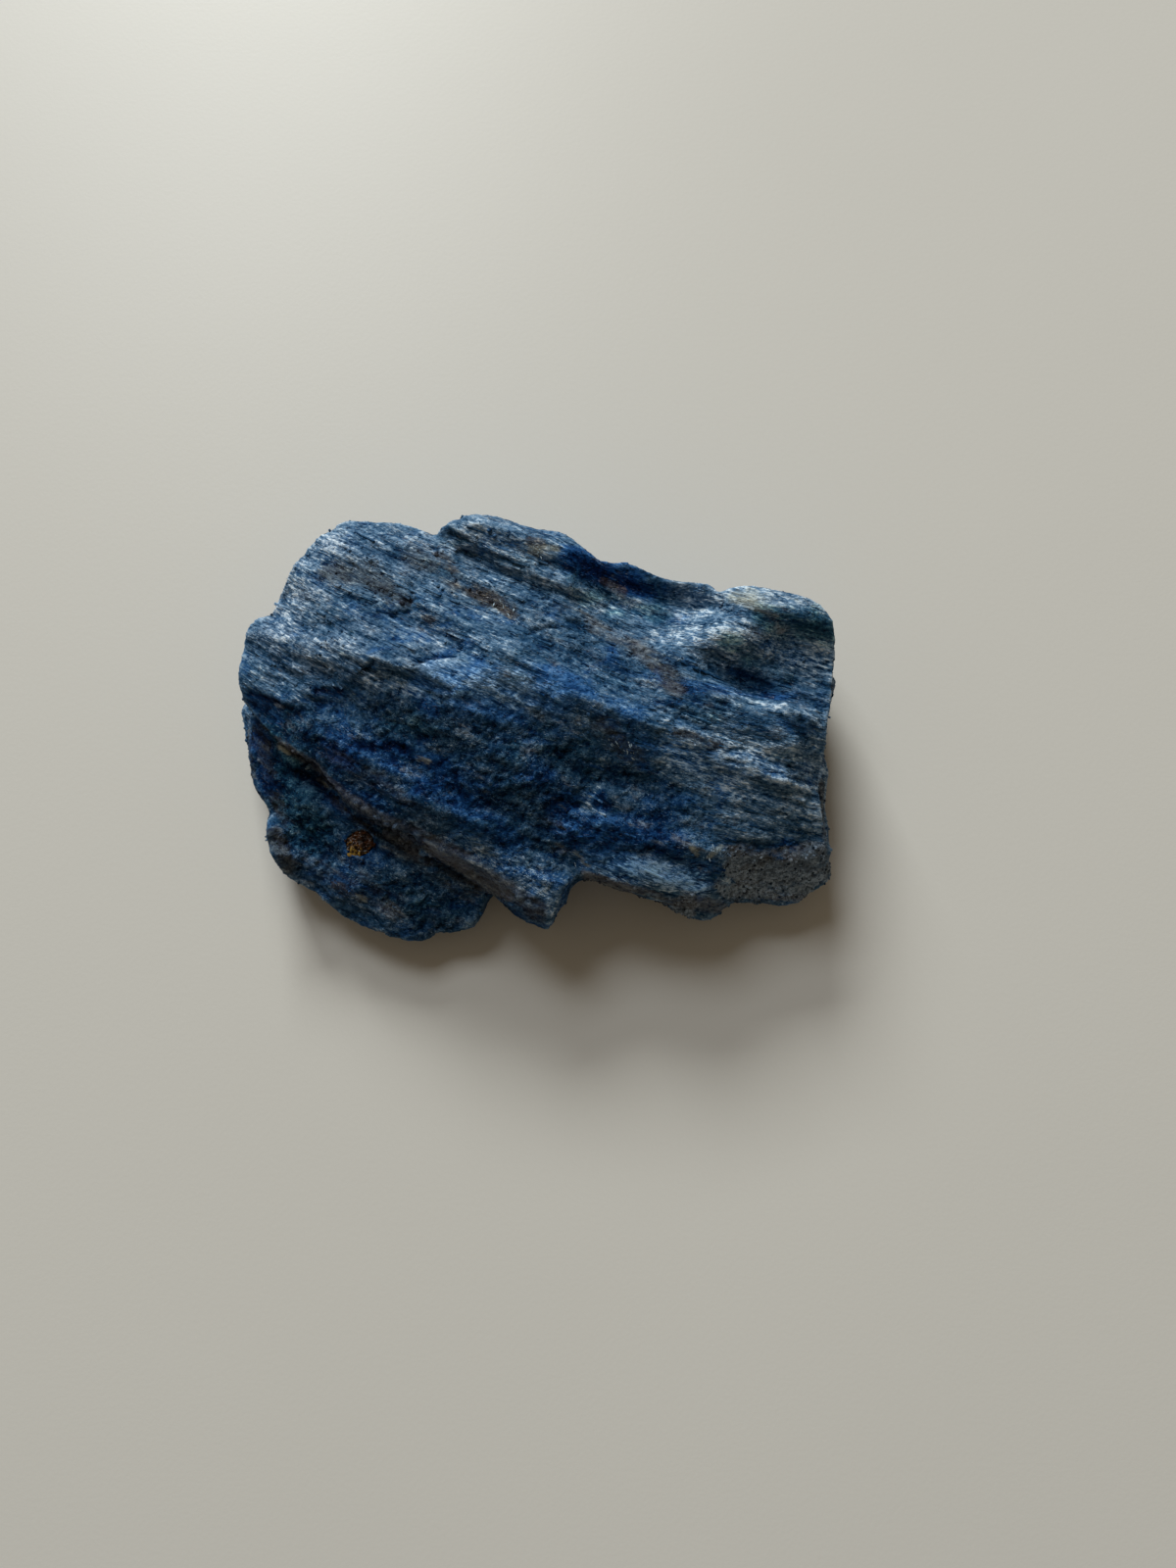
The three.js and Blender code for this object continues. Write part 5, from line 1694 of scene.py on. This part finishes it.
        # painted glints: needles under the glint strokes are lighter
        tone = tone + g.mask(Zone.GLINT) * g.random(6, 0.0, 0.35)
        toned = g.store(points, Trait.TONE, g.clamped(tone))
        grown = g.grown(g.moved(toned, out, thick * g.size("Lift")), self.one(g), turned,
                        g.joined(length, breadth, thick))
        return g.run(self.name, skin.data, grown, material)


@dataclass
class Crumbs:
    """Small angular grains pressed into the grey and brown rock."""

    name: str = "rock_crumbs"
    density: float = 2.4
    largest: float = 0.85
    smallest: float = 0.30
    seed: int = 71

    def build(self, skin: bpy.types.Object, material: bpy.types.Material) -> bpy.types.Object:
        """Scatters the grains.

        Args:
            skin: The stone's skin.
            material: The finish.

        Returns:
            The piece.
        """
        g = ShapeGraph(self.name, {"Density": self.density, "Largest": self.largest,
                                   "Smallest": self.smallest, "Seed": self.seed})
        wanted = (g.mask(Zone.GRANULAR) + g.mask(Zone.MATRIX) * 0.22
                  + g.mask(Zone.WALL) * 0.06 + g.mask(Zone.RUBBLE) * 0.55) * g.clear()
        toned = g.store(g.strewn(wanted), Trait.TONE, g.random(5, 0.1, 0.9))
        size = g.blend(g.random(3) ** 2.0, g.size("Smallest"), g.size("Largest"))
        size = size * (1.0 + g.mask(Zone.RUBBLE) * 1.3)
        turned = g.turned("XZ", g.random_vector(1), g.random_vector(2))
        grain = g.node("GeometryNodeMeshIcoSphere", feeds={"Radius": 0.5, "Subdivisions": 1},
                       output="Mesh")
        sizes = g.joined(size, size * g.random(6, 0.55, 1.0), size * g.random(7, 0.45, 0.9))
        return g.run(self.name, skin.data, g.grown(toned, grain, turned, sizes), material)


@dataclass
class Flakes:
    """Thin bright mica blades, in a few small nests."""

    name: str = "mica_flakes"
    density: float = 4.5
    longest: float = 1.05
    shortest: float = 0.30
    thick: float = 0.05
    seed: int = 81

    def build(self, skin: bpy.types.Object, material: bpy.types.Material) -> bpy.types.Object:
        """Scatters the flakes.

        Args:
            skin: The stone's skin.
            material: The finish.

        Returns:
            The piece.
        """
        g = ShapeGraph(self.name, {"Density": self.density, "Longest": self.longest,
                                   "Shortest": self.shortest, "Thick": self.thick,
                                   "Seed": self.seed})
        points = g.strewn(g.mask(Zone.MICA))
        out = g.vector("ADD", points.other("Normal"), g.scaled(g.random_vector(2), 0.6))
        course = g.vector("ADD", (-0.30, 1.0, 0.0), g.scaled(g.random_vector(1), 0.22))
        size = g.blend(g.random(3) ** 1.5, g.size("Shortest"), g.size("Longest"))
        grown = g.grown(points, g.rod(6), g.turned("ZX", out, course),
                        g.joined(size, size * g.random(6, 0.12, 0.24), g.size("Thick")))
        return g.run(self.name, skin.data, grown, material)


# ---------------------------------------------------------------- the set


@dataclass
class Desk:
    """The plain pale desk top that the stone lies on."""

    half_size: float = 3.0  # metres
    finish: DeskPaint = field(default_factory=DeskPaint)

    def build(self) -> bpy.types.Object:
        """Lays the desk top at height 0.

        Returns:
            The floor object.
        """
        bm = bmesh.new()
        bmesh.ops.create_grid(bm, x_segments=2, y_segments=2, size=self.half_size)
        mesh = mesh_from("desk_top", bm)
        mesh.materials.append(self.finish.material())
        floor = placed("desk_top", mesh)
        return floor


@dataclass
class WindowLight:
    """One soft light that stands for part of a window: degrees, metres and watts."""

    name: str
    azimuth: float
    elevation: float
    distance: float
    width: float
    height: float
    power: float
    colour: Colour

    def build(self) -> None:
        """Hangs the light, facing the stone."""
        turn, rise = math.radians(self.azimuth), math.radians(self.elevation)
        way = Vector((-math.sin(turn) * math.cos(rise), math.cos(turn) * math.cos(rise),
                      math.sin(rise)))
        lamp = bpy.data.lights.new(self.name, "AREA")
        lamp.shape = "RECTANGLE"
        lamp.size, lamp.size_y = self.width, self.height
        lamp.energy = self.power
        lamp.color = self.colour
        window = placed(self.name, lamp)
        window.location = way * self.distance
        window.rotation_euler = way.to_track_quat("Z", "Y").to_euler()


@dataclass
class Room:
    """The dim warm room behind the viewer."""

    colour: Colour = (1.0, 0.815, 0.577)
    power: float = 0.16

    def build(self) -> None:
        """Fills the room with even light."""
        world = bpy.data.worlds.new("room")
        world.use_nodes = True
        sky = world.node_tree.nodes["Background"]
        sky.inputs["Color"].default_value = (*self.colour, 1.0)
        sky.inputs["Strength"].default_value = self.power
        bpy.context.scene.world = world


@dataclass
class Viewpoint:
    """The camera, almost straight above the stone."""

    location: tuple[float, float, float] = (7.75, -34.97, 167.42)
    lean: float = 10.0  # degrees
    lens: float = 27.016
    sensor: float = 36.0
    nearest: float = 10.0

    def build(self) -> None:
        """Places the camera and makes it the scene's own."""
        data = bpy.data.cameras.new("viewpoint")
        data.lens = self.lens
        data.sensor_width = self.sensor
        data.sensor_fit = "AUTO"
        data.clip_start = self.nearest * MM
        camera = placed("viewpoint", data)
        camera.location = Vector(self.location) * MM
        camera.rotation_euler = (math.radians(self.lean), 0.0, 0.0)
        bpy.context.scene.camera = camera


WINDOWS: tuple[WindowLight, ...] = (
    WindowLight("window_low", azimuth=14.0, elevation=26.5, distance=1.80, width=0.66,
                height=0.40, power=30.0, colour=(0.97, 1.0, 0.96)),
    WindowLight("window_high", azimuth=24.0, elevation=47.0, distance=1.60, width=0.62,
                height=0.50, power=9.0, colour=(0.93, 0.98, 1.0)),
)
NEEDLE_BEDS: tuple[Needles, ...] = (
    Needles("needles_blue", density=3.0, longest=2.1, shortest=0.55, broadest=0.19,
            narrowest=0.09, stray=0.15, tone_low=0.20, tone_high=0.74, seed=11),
    Needles("needles_pale", density=3.0, longest=1.8, shortest=0.45, broadest=0.16,
            narrowest=0.08, stray=0.16, tone_low=0.42, tone_high=1.00, seed=23,
            pale_bias=0.6),
    Needles("felt_fibres", density=6.0, longest=1.5, shortest=0.5, broadest=0.12,
            narrowest=0.06, stray=1.10, tone_low=0.25, tone_high=1.00, seed=53,
            felt_bias=1.0),
    Needles("splinters", density=0.20, longest=4.0, shortest=1.6, broadest=0.50,
            narrowest=0.24, stray=0.06, tone_low=0.25, tone_high=0.75, seed=37,
            flatness=0.55, lift=-0.20, form=Form.BLADE),
)


def main() -> None:
    """Builds the set, then the stone from its skin outwards."""
    logging.basicConfig(level=logging.INFO, format="%(message)s")
    bpy.context.scene.view_settings.view_transform = "Standard"
    Viewpoint().build()
    for window in WINDOWS:
        window.build()
    Room().build()
    Desk().build()
    finish = FibrousBlue().material()
    body = StoneBody()
    skin = body.build(finish)
    settle(skin, STONE_NODE)
    silk = FibrousBlue("silky_needles", gloss=0.50, rough=0.46).material()
    for bed in NEEDLE_BEDS:
        settle(bed.build(skin, silk if bed.pale_bias else finish))
    settle(Crumbs().build(skin, finish))
    settle(Flakes().build(skin, Mica().material()))
    settle(body.crystal.build(body.shelf_level))


if __name__ == "__main__":
    main()
